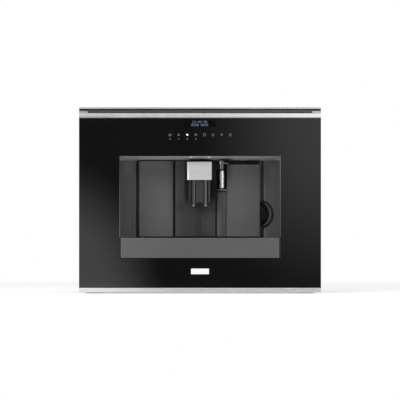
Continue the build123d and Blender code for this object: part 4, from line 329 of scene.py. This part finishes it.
def die_cast(name, colour):
    """Cast aluminium: a coarse skin in tone, gloss and bump."""
    mat, tree, shader = new_material(name)
    coarse = noise(tree, place(tree), scale=420.0, detail=4.0, rough=0.7)
    link(tree, tint(tree, coarse, colour, 0.86, 1.06), shader.inputs["Base Color"])
    link(tree, spread(tree, coarse, 0.42, 0.58), shader.inputs["Roughness"])
    shader.inputs["Metallic"].default_value = 0.9
    bump(tree, shader, coarse, strength=0.25, distance=0.0003)
    return mat


def board(name):
    """Circuit board lacquer: dark green fields with lighter tracks between them."""
    mat, tree, shader = new_material(name)
    where = place(tree)
    fields = tree.nodes.new("ShaderNodeTexBrick")
    fields.inputs["Scale"].default_value = 160.0
    fields.inputs["Mortar Size"].default_value = 0.03
    fields.inputs["Color1"].default_value = (0.012, 0.085, 0.035, 1)
    fields.inputs["Color2"].default_value = (0.010, 0.065, 0.028, 1)
    fields.inputs["Mortar"].default_value = (0.03, 0.16, 0.07, 1)
    link(tree, where, fields.inputs["Vector"])
    link(tree, fields.outputs["Color"], shader.inputs["Base Color"])
    sheen = spread(tree, noise(tree, where, scale=60.0), 0.28, 0.42)
    link(tree, sheen, shader.inputs["Roughness"])
    bump(tree, shader, fields.outputs["Fac"], strength=0.2, distance=0.0001)
    return mat


# ---------------------------------------------------------------------------------------
# Masks: each is a function that builds its nodes in a material and is 1 where it applies
# ---------------------------------------------------------------------------------------
def between(tree, value, span, soft):
    low, high = span
    return all_of(
        tree,
        rise(tree, value, (low - soft) * MM, (low + soft) * MM),
        rise(tree, value, (high + soft) * MM, (high - soft) * MM),
    )


def zone(x=None, z=None, soft=0.25):
    """1 inside the given spans, in mm, with edges this soft on each side."""

    def mask(tree):
        here = axes(tree)
        spans = [(axis, span) for axis, span in (("X", x), ("Z", z)) if span]
        return all_of(tree, *[between(tree, here[axis], span, soft) for axis, span in spans])

    return mask


def fade(axis, none, full):
    """Grows along one axis from one place, in mm, to another."""

    def mask(tree):
        return rise(tree, axes(tree)[axis], none * MM, full * MM)

    return mask


def both(*masks):
    """1 where all of several masks are."""

    def mask(tree):
        return all_of(tree, *[one(tree) for one in masks])

    return mask


def round_scoop(inner, outer):
    """Between two distances from the scoop's axis, each a (none, full) pair in mm."""

    def mask(tree):
        here = axes(tree)
        aside = maths(tree, "SUBTRACT", here["X"], SCOOP_X * MM)
        above = maths(tree, "SUBTRACT", here["Z"], SCOOP_Z * MM)
        reach = length_of(tree, aside, above)
        rims = (inner, outer)
        return all_of(tree, *[rise(tree, reach, none * MM, full * MM) for none, full in rims])

    return mask


def faces_down(tree):
    """Surfaces that look down, such as the niche's sloped ceiling."""
    return rise(tree, facing(tree)["Z"], -0.6, -0.9)


def bezel_edge_highlight(tree):
    """A painted highlight on the bezel's outer edge, left and right."""
    aside = maths(tree, "ABSOLUTE", axes(tree)["X"])
    return rise(tree, aside, (BEZEL_HIGHLIGHT_X - 0.3) * MM, (BEZEL_HIGHLIGHT_X + 0.3) * MM)


def door_chamfer_highlights(tree):
    """Painted highlights on the front chamfers along the door's left and right edges."""
    x = axes(tree)["X"]
    inner, outer = DOOR_CHAMFER + 0.1, DOOR_CHAMFER - 0.1
    left = rise(tree, x, (DOOR_X[0] + inner) * MM, (DOOR_X[0] + outer) * MM)
    right = rise(tree, x, (DOOR_X[1] - inner) * MM, (DOOR_X[1] - outer) * MM)
    forward = rise(tree, facing(tree)["Y"], -0.5, -0.6)
    return all_of(tree, maths(tree, "ADD", left, right), forward)


def repaint(mat, *fields):
    """Other tones on a finish, its own ones and painted light and shade, as (mask, grey level),
    each laid over those before it.
    """
    tree = mat.node_tree
    colour = tree.nodes["Principled BSDF"].inputs["Base Color"]
    for mask_of, level in fields:
        mask = mask_of(tree)
        layer = tree.nodes.new("ShaderNodeMixRGB")
        link(tree, mask, layer.inputs["Fac"])
        link(tree, colour.links[0].from_socket, layer.inputs["Color1"])
        layer.inputs["Color2"].default_value = (*grey(level), 1)
        link(tree, layer.outputs["Color"], colour)


# ---------------------------------------------------------------------------------------
# Finishes inside the machine and on its chassis
# ---------------------------------------------------------------------------------------
screw_zinc = zinc("screw_zinc", grey(0.55), rough=0.3)
runner_zinc = zinc("runner_zinc", grey(0.46), rough=0.36)
sheet_zinc = zinc("sheet_zinc", grey(0.43), rough=0.56)
ground_steel = brushed("ground_steel", grey(0.6), rough=0.2, along=2, grain=0.08)
tray_steel = brushed("tray_steel", grey(0.56), rough=0.28)
boiler_cast = die_cast("boiler_cast", grey(0.6))
carrier_black = moulded("carrier_black", grey(0.022), rough=0.5)
tray_black = moulded("tray_black", grey(0.03), rough=0.38)
gloss_black = moulded("gloss_black", grey(0.030), rough=0.16, grain=0.02, vary=0.1)
grinder_black = moulded("grinder_black", grey(0.05), rough=0.48)
brew_grey = moulded("brew_grey", grey(0.12), rough=0.42)
motor_grey = moulded("motor_grey", grey(0.2), rough=0.34, grain=0.05)
pump_ivory = moulded("pump_ivory", (0.62, 0.59, 0.50), rough=0.4)
hose_milk = moulded("hose_milk", (0.72, 0.72, 0.69), rough=0.35, grain=0.03)
float_red = moulded("float_red", (0.52, 0.03, 0.02), rough=0.28, grain=0.03)
board_green = board("board_green")
smoked = clear("smoked_clear", (0.42, 0.43, 0.45), see=0.75)
water_clear = clear("water_clear", (0.86, 0.91, 0.94))

# ---------------------------------------------------------------------------------------
# Finishes of the front, with the lighter and darker fields of each moulding, most of them
# painted light and shade
# ---------------------------------------------------------------------------------------
glass_front = black_glass("black_glass")
display_black = moulded("display_black", grey(0.003), rough=0.12, grain=0.01, vary=0.2)
plate_white = moulded("plate_white", grey(0.82), rough=0.3, grain=0.02, vary=0.01)
lamp_lens = glowing("lamp_lens", (1.0, 0.99, 0.97), 0.7, off=(0.8, 0.8, 0.8))
cap_grey = brushed("cap_grey", grey(0.5), vary=0.03)
outlet_steel = brushed("outlet_steel", grey(0.2), rough=0.25, along=1, grain=0.05)
chrome = brushed(
    "chrome", (0.80, 0.81, 0.82), rough=0.09, along=2, grain=0.02, vary=0.015, flow=0.0
)

steel_trim = brushed("steel_trim", grey(0.73), rough=0.28, vary=0.03)
# a painted shadow line along the bottom trim's upper edge
repaint(steel_trim, (zone(z=TRIM_TOP_SHADOW_Z), 0.05))

channel_steel = brushed("channel_steel", grey(0.86), rough=0.28, vary=0.03)
repaint(
    channel_steel,
    (both(fade("Y", GLASS_Y - 1, GLASS_Y + 2), zone(z=CHANNEL_Z)), 0.1),  # inside the channel, partly its darker lining and partly painted shade
    # painted shade on the rounded edges, and a painted shadow line under the bar
    (zone(z=CHANNEL_EDGE_SHADE_Z), 0.3),
    (zone(z=LIP_EDGE_SHADE_Z), 0.53),
    (zone(z=BAR_FOOT_SHADE_Z), 0.5),
    (zone(z=BAR_UNDERSIDE_SHADOW_Z), 0.03),
)

bezel_steel = brushed("bezel_steel", grey(0.07), along=2, grain=0.1)
# a painted highlight on the bezel's outer edge
repaint(bezel_steel, (bezel_edge_highlight, 0.24))

liner_depth = fade("Y", LINER_FRONT, LINER_BACK)
liner_with_painted_light = moulded("liner_with_painted_light", grey(0.052), rough=0.42, grain=0.12)
repaint(
    liner_with_painted_light,
    # painted light, lighter towards the back
    (liner_depth, 0.11),
    (both(liner_depth, fade("Z", 275, 318)), 0.145),  # painted light, lighter again towards the lamps
    (fade("Y", LINER_BACK - 20, LINER_BACK - 2), 0.28),  # painted light on the walls' rear end
    (fade("Z", *CEILING_FOOT_Z), 0.25),
    (faces_down, 0.44),  # the ceiling
    # painted shade on it, over the hot-water nozzle
    (both(faces_down, zone(x=(48, 80), soft=8), fade("Y", -172, -120)), 0.11),
)

tray_grey = moulded("tray_grey", grey(0.088), rough=0.34, grain=0.02, vary=0.02)
# a painted shadow line along the tray front's upper edge
repaint(tray_grey, (zone(z=TRAY_LIP_SHADOW_Z), 0.008))

centre = zone(x=CENTRE_X)
column = zone(x=COLUMN_X)
sculpted_door = moulded("sculpted_door", grey(0.092), rough=0.4, grain=0.1)
repaint(
    sculpted_door,
    (fade("Z", 296, 322), 0.13),  # painted light under the lamps
    (both(fade("X", -82, -68), fade("X", -50, -60)), 0.072),  # painted shade on the left panel, beside its groove
    (both(fade("X", 86, 68), fade("X", 50, 60), fade("Z", 262, 300)), 0.055),  # painted shadow of the nozzle on the right panel
    # painted highlights on the chamfers
    (door_chamfer_highlights, 0.2),
    (centre, 0.03),
    (both(centre, fade("Z", 205, 245), fade("X", -24, -44)), 0.068),  # painted light left of the unit
    (both(zone(x=(-12, 4), soft=4), fade("Z", 210, 200)), 0.021),  # painted shade under the unit
    (both(centre, fade("X", 20, 36), fade("Z", 212, 204)), 0.020),  # painted shade at the centre's right end, below the unit
    (both(zone(x=(0, CENTRE_X[1]), soft=3), fade("Z", 158, 140)), 0.014),  # painted shade over the tray
    (both(zone(x=(-38, -26), soft=2), fade("Z", 215, 235)), 0.012),  # the unit's shadow, left
    (both(zone(x=(24, CENTRE_X[1]), soft=2), fade("Z", 215, 245)), 0.008),  # and right
    (column, 0.06),
    (both(column, fade("X", 48, 62)), 0.030),  # the column's side away from the light
    (zone(x=COLUMN_X, z=SPLIT_LIT_Z), 0.09),
    # painted shade in the grooves and in the gap across the column
    (zone(x=GROOVE_LEFT_X), 0.001),
    (zone(x=GROOVE_RIGHT_X), 0.002),
    (zone(x=COLUMN_X, z=SPLIT_Z), 0.002),
)

silver_lacquer = moulded("silver_lacquer", grey(0.64), rough=0.3, grain=0.04, vary=0.02)
repaint(
    silver_lacquer,
    # painted shade, darker towards the bottom
    (fade("Z", 314, 294), 0.51),
    # painted highlight on the rounded left edge
    (zone(x=COVER_EDGE_HIGHLIGHT_X, soft=0.5), 0.95),
)

unit_black = moulded("unit_black", grey(0.03), rough=0.2, grain=0.02, vary=0.08)
repaint(
    unit_black,
    (zone(x=UNIT_MIDDLE_X), 0.045),
    # painted shade in the recesses, painted highlights on the tubes and a side ridge
    (zone(x=UNIT_RECESS_SHADE_X[0]), 0.01),
    (zone(x=UNIT_RECESS_SHADE_X[1]), 0.01),
    (zone(x=UNIT_EDGE_HIGHLIGHT_X[0], soft=0.6), 0.075),
    (zone(x=UNIT_EDGE_HIGHLIGHT_X[1], soft=0.6), 0.1),
    (zone(x=UNIT_SIDE_HIGHLIGHT_X, soft=0.4), 0.06),
)

frame_black = moulded("frame_black", grey(0.008), rough=0.5)
repaint(
    frame_black,
    # painted light in the gaps beside the door, brighter along the door's right edge
    (zone(x=GAP_LEFT_X), 0.035),
    (zone(x=GAP_RIGHT_X), 0.035),
    (zone(x=GAP_LIT_X), 0.13),
)

scoop_black = moulded("scoop_black", grey(0.006), rough=0.35, grain=0.03)
# painted light on the scoop's wall, just inside its rim
scoop_wall_light = round_scoop((SCOOP_R - 15, SCOOP_R - 9), (SCOOP_R + 0.2, SCOOP_R - 0.2))
scoop_collar = round_scoop((SCOOP_R - 0.4, SCOOP_R + 0.2), (SCOOP_R + 3.6, SCOOP_R + 3.0))
in_liner = fade("X", LINER_BACK_X - 0.3, LINER_BACK_X + 0.3)
repaint(
    scoop_black,
    # painted light inside the scoop's rim
    (scoop_wall_light, 0.075),
    (both(scoop_collar, in_liner), 0.09),
)


def nozzle_finish(name, metal=0.68, matt=0.3):
    """Chromed tube under a dark moulded holder, on one node, with a painted highlight on the
    holder's left edge. metal is the tube's share of metal, and matt how much rougher the holder
    is."""
    above_tube = fade("Z", TUBE_TOP - 0.4, TUBE_TOP + 0.4)
    mat = brushed(name, grey(0.86), rough=0.2, along=2, grain=0.02, vary=0.015, flow=0.0)
    repaint(
        mat,
        (above_tube, 0.14),
        # painted highlight on the holder's left edge
        (zone(x=HOLDER_HIGHLIGHT_X, z=HOLDER_HIGHLIGHT_Z), 0.6),
        (zone(z=(TUBE_TOP, HOLDER_FOOT)), 0.015),
    )
    tree = mat.node_tree
    shader = tree.nodes["Principled BSDF"]
    holder = above_tube(tree)
    bare = maths(tree, "SUBTRACT", 1.0, holder)
    link(tree, maths(tree, "MULTIPLY", bare, metal), shader.inputs["Metallic"])
    sheen = shader.inputs["Roughness"].links[0].from_socket
    duller = maths(tree, "MULTIPLY", holder, matt)
    link(tree, maths(tree, "ADD", sheen, duller), shader.inputs["Roughness"])
    return mat


nozzle_chrome = nozzle_finish("nozzle_chrome")

FINISHES = {
    "cabinet_rails": runner_zinc, "middle_rails": runner_zinc, "machine_rails": runner_zinc,
    "base_pan": sheet_zinc, "side_panel_left": sheet_zinc, "side_panel_right": sheet_zinc,
    "rear_panel": sheet_zinc, "top_panel": sheet_zinc, "inner_deck": sheet_zinc,
    "rear_screws": screw_zinc, "front_carrier": carrier_black, "front_glass": glass_front,
    "top_profile": channel_steel, "channel_end_caps": cap_grey, "bottom_trim": steel_trim,
    "niche_bezel": bezel_steel, "brand_plate": plate_white, "display_module": display_black,
    "touch_board": board_green, "niche_liner": liner_with_painted_light, "cup_lights": lamp_lens,
    "throat_frame": frame_black, "hinge_pins": carrier_black, "door_catch": frame_black,
    "finger_scoop": scoop_black, "service_door": sculpted_door, "door_back": brew_grey,
    "spout_cover": silver_lacquer, "spout_unit": unit_black, "coffee_outlets": chrome,
    "steam_outlet": outlet_steel, "hot_water_nozzle": nozzle_chrome, "drip_tray": tray_black,
    "tray_front": tray_grey, "tray_grille": tray_steel, "level_float": float_red,
    "grounds_container": tray_black, "bean_hopper": smoked, "hopper_lid": smoked,
    "grind_knob": carrier_black, "grinder_housing": grinder_black, "grinder_burr": ground_steel,
    "grinder_motor": motor_grey, "powder_funnel": carrier_black, "funnel_lid": carrier_black,
    "infuser_frame": brew_grey, "brew_carriage": brew_grey, "brew_spindle": ground_steel,
    "brew_drive": brew_grey, "brew_motor": motor_grey, "coffee_boiler": boiler_cast,
    "steam_boiler": boiler_cast, "water_pump": pump_ivory, "control_board": board_green,
    "tank_dock": carrier_black, "water_tank": water_clear, "tank_lid": carrier_black,
    "hoses": hose_milk, "inlet_socket": carrier_black, "power_rocker": gloss_black,
}
for name, finish in FINISHES.items():
    slots = nodes[name].data.materials
    slots.clear()
    slots.append(finish)


# ---------------------------------------------------------------------------------------
# Thin print on the glass. Points are (x, z) in mm, and outlines run anticlockwise as seen
# from the front.
# ---------------------------------------------------------------------------------------
PRINT_Y = GLASS_Y - 0.08
PRINT_THICK = 0.04


def new_object(name, bm, material):
    mesh = bpy.data.meshes.new(name)
    bm.to_mesh(mesh)
    bm.free()
    mesh.materials.append(material)
    obj = bpy.data.objects.new(name, mesh)
    bpy.context.scene.collection.objects.link(obj)
    return obj


def printed(name, bm, material):
    """A print on the front glass, in the finish it is given."""
    obj = new_object(name, bm, material)
    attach(obj, "machine")


def prism(bm, outline, y, thick):
    """A thin plate with a convex outline, its face at y."""
    front = [bm.verts.new((x * MM, y * MM, z * MM)) for x, z in outline]
    back = [bm.verts.new((x * MM, (y + thick) * MM, z * MM)) for x, z in outline]
    bm.faces.new(front)
    bm.faces.new(list(reversed(back)))
    for i, corner in enumerate(front):
        bm.faces.new((corner, front[i - 1], back[i - 1], back[i]))


def arc(cx, cz, radius, start, end, steps, squeeze=1.0):
    """Points on an arc between two angles in degrees, squeezed in height."""
    points = []
    for i in range(steps + 1):
        a = math.radians(start + (end - start) * i / steps)
        points.append((cx + radius * math.cos(a), cz + radius * math.sin(a) * squeeze))
    return points


def stroke(bm, points, width, closed):
    """A printed line through points, with mitred corners."""
    count = len(points)
    left, right = [], []
    for i, (x, z) in enumerate(points):
        steps = []
        if closed or i:
            before = points[i - 1]
            steps.append(Vector((x - before[0], z - before[1])).normalized())
        if closed or i < count - 1:
            after = points[(i + 1) % count]
            steps.append(Vector((after[0] - x, after[1] - z)).normalized())
        way = sum(steps, Vector((0, 0))).normalized()
        side = Vector((-way.y, way.x))
        reach = width / 2 / max(0.5, abs(side.dot(Vector((-steps[0].y, steps[0].x)))))
        left.append((x + side.x * reach, z + side.y * reach))
        right.append((x - side.x * reach, z - side.y * reach))
    for i in range(count if closed else count - 1):
        j = (i + 1) % count
        prism(bm, [left[i], right[i], right[j], left[j]], PRINT_Y, PRINT_THICK)


# ---------------------------------------------------------------------------------------
# Display: a dark screen and two rows of dot-matrix digits
# ---------------------------------------------------------------------------------------
SCREEN_Z = 417.5  # middle
SCREEN_W = 78.6
SCREEN_H = 16.2
SCREEN_R = 0.8
SCREEN_Y = GLASS_Y - 0.03
SCREEN_THICK = 0.02
DOT = 0.68
DOT_PITCH = 0.78
DOT_THICK = 0.03
DIGIT_DOTS = 5  # dots in a row of a digit
SIGN_DOTS = 6  # a digit and the space after it

# the rows of each digit from the top, as bits, the left dot first
DIGITS = {
    "0": (14, 17, 19, 21, 25, 17, 14), "1": (4, 12, 4, 4, 4, 4, 14),
    "2": (14, 17, 1, 2, 4, 8, 31), "3": (31, 2, 4, 2, 1, 17, 14),
    "4": (2, 6, 10, 18, 31, 2, 2), "5": (31, 16, 30, 1, 1, 17, 14),
    "9": (14, 17, 17, 15, 1, 2, 12), ":": (0, 4, 4, 0, 4, 4, 0), " ": (0,) * 7,
}


def dotted_row(bm, text, middle_x, top_z):
    left = middle_x - (len(text) * SIGN_DOTS - 1) * DOT_PITCH / 2
    for i, sign in enumerate(text):
        for row, bits in enumerate(DIGITS[sign]):
            for column in range(DIGIT_DOTS):
                if bits >> (DIGIT_DOTS - 1 - column) & 1:
                    x = left + (i * SIGN_DOTS + column) * DOT_PITCH
                    z = top_z - row * DOT_PITCH
                    dot = [(x, z), (x, z - DOT), (x + DOT, z - DOT), (x + DOT, z)]
                    prism(bm, dot, PRINT_Y, DOT_THICK)


def rounded(cz, width, height, radius):
    """A rectangle with round corners, its middle at x = 0."""
    points = []
    for sx, sz, start in ((1, 1, 0), (-1, 1, 90), (-1, -1, 180), (1, -1, 270)):
        middle = (sx * (width / 2 - radius), cz + sz * (height / 2 - radius))
        points += arc(*middle, radius, start, start + 90, 5)
    return points


screen_black = moulded(
    "screen_black", (0.0012, 0.0012, 0.0022), rough=0.2, grain=0.01, specular=0.12
)
display_light = glowing("display_light", (0.50, 0.58, 0.95), 0.42)

bm = bmesh.new()
prism(bm, rounded(SCREEN_Z, SCREEN_W, SCREEN_H, SCREEN_R), SCREEN_Y, SCREEN_THICK)
printed("display_screen", bm, screen_black)

bm = bmesh.new()
dotted_row(bm, "12:45:30", middle_x=-1.2, top_z=424.0)
dotted_row(bm, "0250 0095", middle_x=-0.6, top_z=416.6)
printed("display_digits", bm, display_light)

# ---------------------------------------------------------------------------------------
# Touch keys: generic signs, drawn about each key's middle
# ---------------------------------------------------------------------------------------
KEY_PITCH = 21.15
KEY_X = -73.6  # the first key
KEY_ROW_Z = (389.9, 379.7)
KEY_LINE = 0.9
THIN = 0.8  # share of the full line
CUP_LIFT = 0.6
LIT_KEY = (2, 0)  # column and row
LIT_DOT_R = 2.5


def line(points, share=1.0):
    """An open stroke of a sign: its points, its width, and whether it is closed."""
    return points, KEY_LINE * share, False


def ring(points):
    """A closed stroke of a sign."""
    return points, KEY_LINE, True


def cup(size):
    """A cup with its handle, on a saucer."""

    def at(points):
        return [(x * size, z * size + CUP_LIFT) for x, z in points]

    return [
        line(at([(-3.0, 2.0), (-2.2, -2.4), (1.4, -2.4), (2.2, 2.0)])),
        line(at(arc(2.2, 0.2, 1.5, 70, -70, 8)), THIN),
        line(at([(-3.4, -3.6), (2.8, -3.6)]), THIN),
    ]


def steam(x):
    return line([(x, -2.6), (x + 0.9, -0.9), (x - 0.3, 0.9), (x + 0.6, 2.6)], THIN)


KEY_SIGNS = {  # column and row: strokes
    (0, 0): cup(1.0),
    (1, 0): [*cup(0.75), line([(-0.6, 3.2), (-0.6, 4.4)], THIN)],
    (3, 0): [  # a bean
        ring(arc(0, 0, 3.0, 0, 345, 20, squeeze=0.72)),
        line([(-2.2, -0.8), (-0.6, 0.3), (0.6, -0.3), (2.2, 0.8)], 0.7),
    ],
    (4, 0): [ring(arc(0, 0, 3.2, 0, 350, 32))],
    (5, 0): [ring([(0, 3.6)] + arc(0, -1.0, 2.2, 25, -205, 12))],  # a drop
    (6, 0): [steam(-1.8), steam(0.0), steam(1.8)],
    (7, 0): [line(arc(0, 0, 2.9, 120, 420, 22)), line([(0, 0.6), (0, 3.8)])],  # on and off
    (0, 1): [line([(1.4, 2.4), (-1.4, 0), (1.4, -2.4)])],
    (1, 1): [line([(-2.4, 0), (2.4, 0)])],
    (2, 1): [line([(-2.4, 0), (2.4, 0)]), line([(0, -2.4), (0, 2.4)])],
    (3, 1): [line([(-1.4, 2.4), (1.4, 0), (-1.4, -2.4)])],
}


def at_key(key, points):
    """Points about a key's middle, moved to the key at (column, row)."""
    column, row = key
    return [(KEY_X + column * KEY_PITCH + x, KEY_ROW_Z[row] + z) for x, z in points]


key_print = glowing("key_print", (0.62, 0.64, 0.66), 0.28)
key_lit = glowing("key_lit", (0.95, 0.97, 1.0), 1.3)

bm = bmesh.new()
for key, strokes in KEY_SIGNS.items():
    for points, width, closed in strokes:
        stroke(bm, at_key(key, points), width, closed)
printed("key_pictograms", bm, key_print)

bm = bmesh.new()
prism(bm, at_key(LIT_KEY, arc(0, 0, LIT_DOT_R, 0, 345, 23)), PRINT_Y, PRINT_THICK)
printed("key_lit_dot", bm, key_lit)


# ---------------------------------------------------------------------------------------
# World and floor, in metres from here on
# ---------------------------------------------------------------------------------------
BACKGROUND = 1.0  # white, as seen
AMBIENT = 0.4  # the light that the world gives
FLOOR_R = 34.0
FLOOR_DROP = 0.0005  # the floor lies this far under the object
FLOOR_TONES = (0.86, 0.88)
FLOOR_GLOW = 0.23
NEAR_FLOOR = (0.9, 2.2)  # radii between which the lit floor gives way to the background


def background_factor(tree):
    """1 for rays from the camera and for rays mirrored or refracted on the way."""
    rays = tree.nodes.new("ShaderNodeLightPath").outputs
    mirrored = maths(tree, "MAXIMUM", rays["Is Camera Ray"], rays["Is Glossy Ray"])
    return maths(tree, "MAXIMUM", mirrored, rays["Is Transmission Ray"])


def background(tree, strength):
    node = tree.nodes.new("ShaderNodeBackground")
    node.inputs["Color"].default_value = (1, 1, 1, 1)
    node.inputs["Strength"].default_value = strength
    return node.outputs[0]


def studio_world():
    world = bpy.data.worlds.new("studio")
    world.use_nodes = True
    tree = world.node_tree
    tree.nodes.clear()
    out = tree.nodes.new("ShaderNodeOutputWorld")
    shown, ambient = background(tree, BACKGROUND), background(tree, AMBIENT)
    link(tree, mixed(tree, background_factor(tree), ambient, shown), out.inputs["Surface"])
    return world


def floor_finish():
    """Pale and lit near the object, with its shadow; as pale as the background further out."""
    mat, tree, shader = new_material("floor_pale")
    cloud = noise(tree, place(tree), scale=3.0)
    link(tree, tint(tree, cloud, grey(1.0), *FLOOR_TONES), shader.inputs["Base Color"])
    shader.inputs["Roughness"].default_value = 0.9
    shader.inputs["Specular IOR Level"].default_value = 0.1
    here = axes(tree)
    far = rise(tree, length_of(tree, here["X"], here["Y"]), *NEAR_FLOOR)
    seen = background_factor(tree)
    lit = tree.nodes.new("ShaderNodeAddShader")
    link(tree, shader.outputs[0], lit.inputs[0])
    link(tree, emission(tree, maths(tree, "MULTIPLY", seen, FLOOR_GLOW)), lit.inputs[1])
    white = emission(tree, BACKGROUND)
    surface = mixed(tree, maths(tree, "MULTIPLY", seen, far), lit.outputs[0], white)
    link(tree, surface, tree.nodes["Material Output"].inputs["Surface"])
    mat.cycles.emission_sampling = "NONE"
    return mat


bpy.context.scene.world = studio_world()

bm = bmesh.new()
bmesh.ops.create_circle(bm, cap_ends=True, segments=128, radius=FLOOR_R)
floor = new_object("floor", bm, floor_finish())
floor.location.z = -FLOOR_DROP

# ---------------------------------------------------------------------------------------
# A dark card close in front of the object, seen only in its gloss, with two soft light patches
# ---------------------------------------------------------------------------------------
CARD_Y = -0.62
CARD_X = (-0.6, 0.6)
CARD_Z = (0.0005, 0.447)
CARD_DARK = 0.06
# each patch: x and z of its middle, its half axes, the reach (in half axes) at which it has
# gone and that at which it is full, and how light it gets
PATCHES = (
    ((-0.355, -0.024), (0.203, 0.284), (1.33, 0.50), 1.0),
    ((0.3295, 0.407), (0.228, 0.294), (1.62, 0.08), 0.74),
)


def card_finish():
    mat, tree, shader = new_material("card_dark")
    tree.nodes.remove(shader)
    here = axes(tree)
    light = 0.0
    for middle, half, (gone, full), level in PATCHES:
        parts = [
            maths(tree, "DIVIDE", maths(tree, "SUBTRACT", here[axis], at), reach)
            for axis, at, reach in zip("XZ", middle, half)
        ]
        patch = rise(tree, length_of(tree, *parts), gone, full)
        light = maths(tree, "ADD", maths(tree, "MULTIPLY", patch, level), light)
    see_through = tree.nodes.new("ShaderNodeBsdfTransparent").outputs[0]
    factor = maths(tree, "MINIMUM", light, 1.0)
    surface = mixed(tree, factor, emission(tree, CARD_DARK), see_through)
    link(tree, surface, tree.nodes["Material Output"].inputs["Surface"])
    mat.cycles.emission_sampling = "NONE"
    return mat


bm = bmesh.new()
corners = [(CARD_X[i], 0, CARD_Z[j]) for i, j in ((0, 0), (1, 0), (1, 1), (0, 1))]
bm.faces.new([bm.verts.new(corner) for corner in corners])
card = new_object("dark_card", bm, card_finish())
card.location.y = CARD_Y
card.visible_camera = False
card.visible_diffuse = False
card.visible_shadow = False
card.visible_transmission = False

# ---------------------------------------------------------------------------------------
# Lamps and camera
# ---------------------------------------------------------------------------------------
SOFTBOXES = (  # name, place, the point that it is turned to, its two sides, its power
    ("key", (-1.9, -2.6, 1.9), (0, -0.1, 0.25), (1.8, 1.8), 62),
    ("fill", (2.2, -2.4, 1.1), (0, -0.1, 0.2), (1.6, 1.8), 30),
    ("top", (0.1, -0.5, 2.6), (0, 0, 0.2), (2.0, 2.0), 30),
)
for name, at, toward, sides, power in SOFTBOXES:
    data = bpy.data.lights.new(name, "AREA")
    data.shape = "RECTANGLE"
    data.size, data.size_y = sides
    data.energy = power
    lamp = bpy.data.objects.new(name, data)
    bpy.context.scene.collection.objects.link(lamp)
    lamp.location = at
    lamp.rotation_euler = (Vector(toward) - Vector(at)).to_track_quat("-Z", "Y").to_euler()
    lamp.visible_camera = False

VIEW_W = 0.9835  # width of the picture at the object's front
VIEW_Z = 0.2294  # height of the picture's middle
FRONT_Y = -0.2
SENSOR = 36.0
LENS = 500.0
camera_data = bpy.data.cameras.new("camera")
camera_data.sensor_width = SENSOR
camera_data.lens = LENS
camera_data.clip_start = 0.1
camera_data.clip_end = 60.0
camera = bpy.data.objects.new("camera", camera_data)
bpy.context.scene.collection.objects.link(camera)
camera.location = (0.0, FRONT_Y - VIEW_W * LENS / SENSOR, VIEW_Z)
camera.rotation_euler = (math.radians(90), 0, 0)
bpy.context.scene.camera = camera

bpy.context.scene.view_settings.view_transform = "Standard"
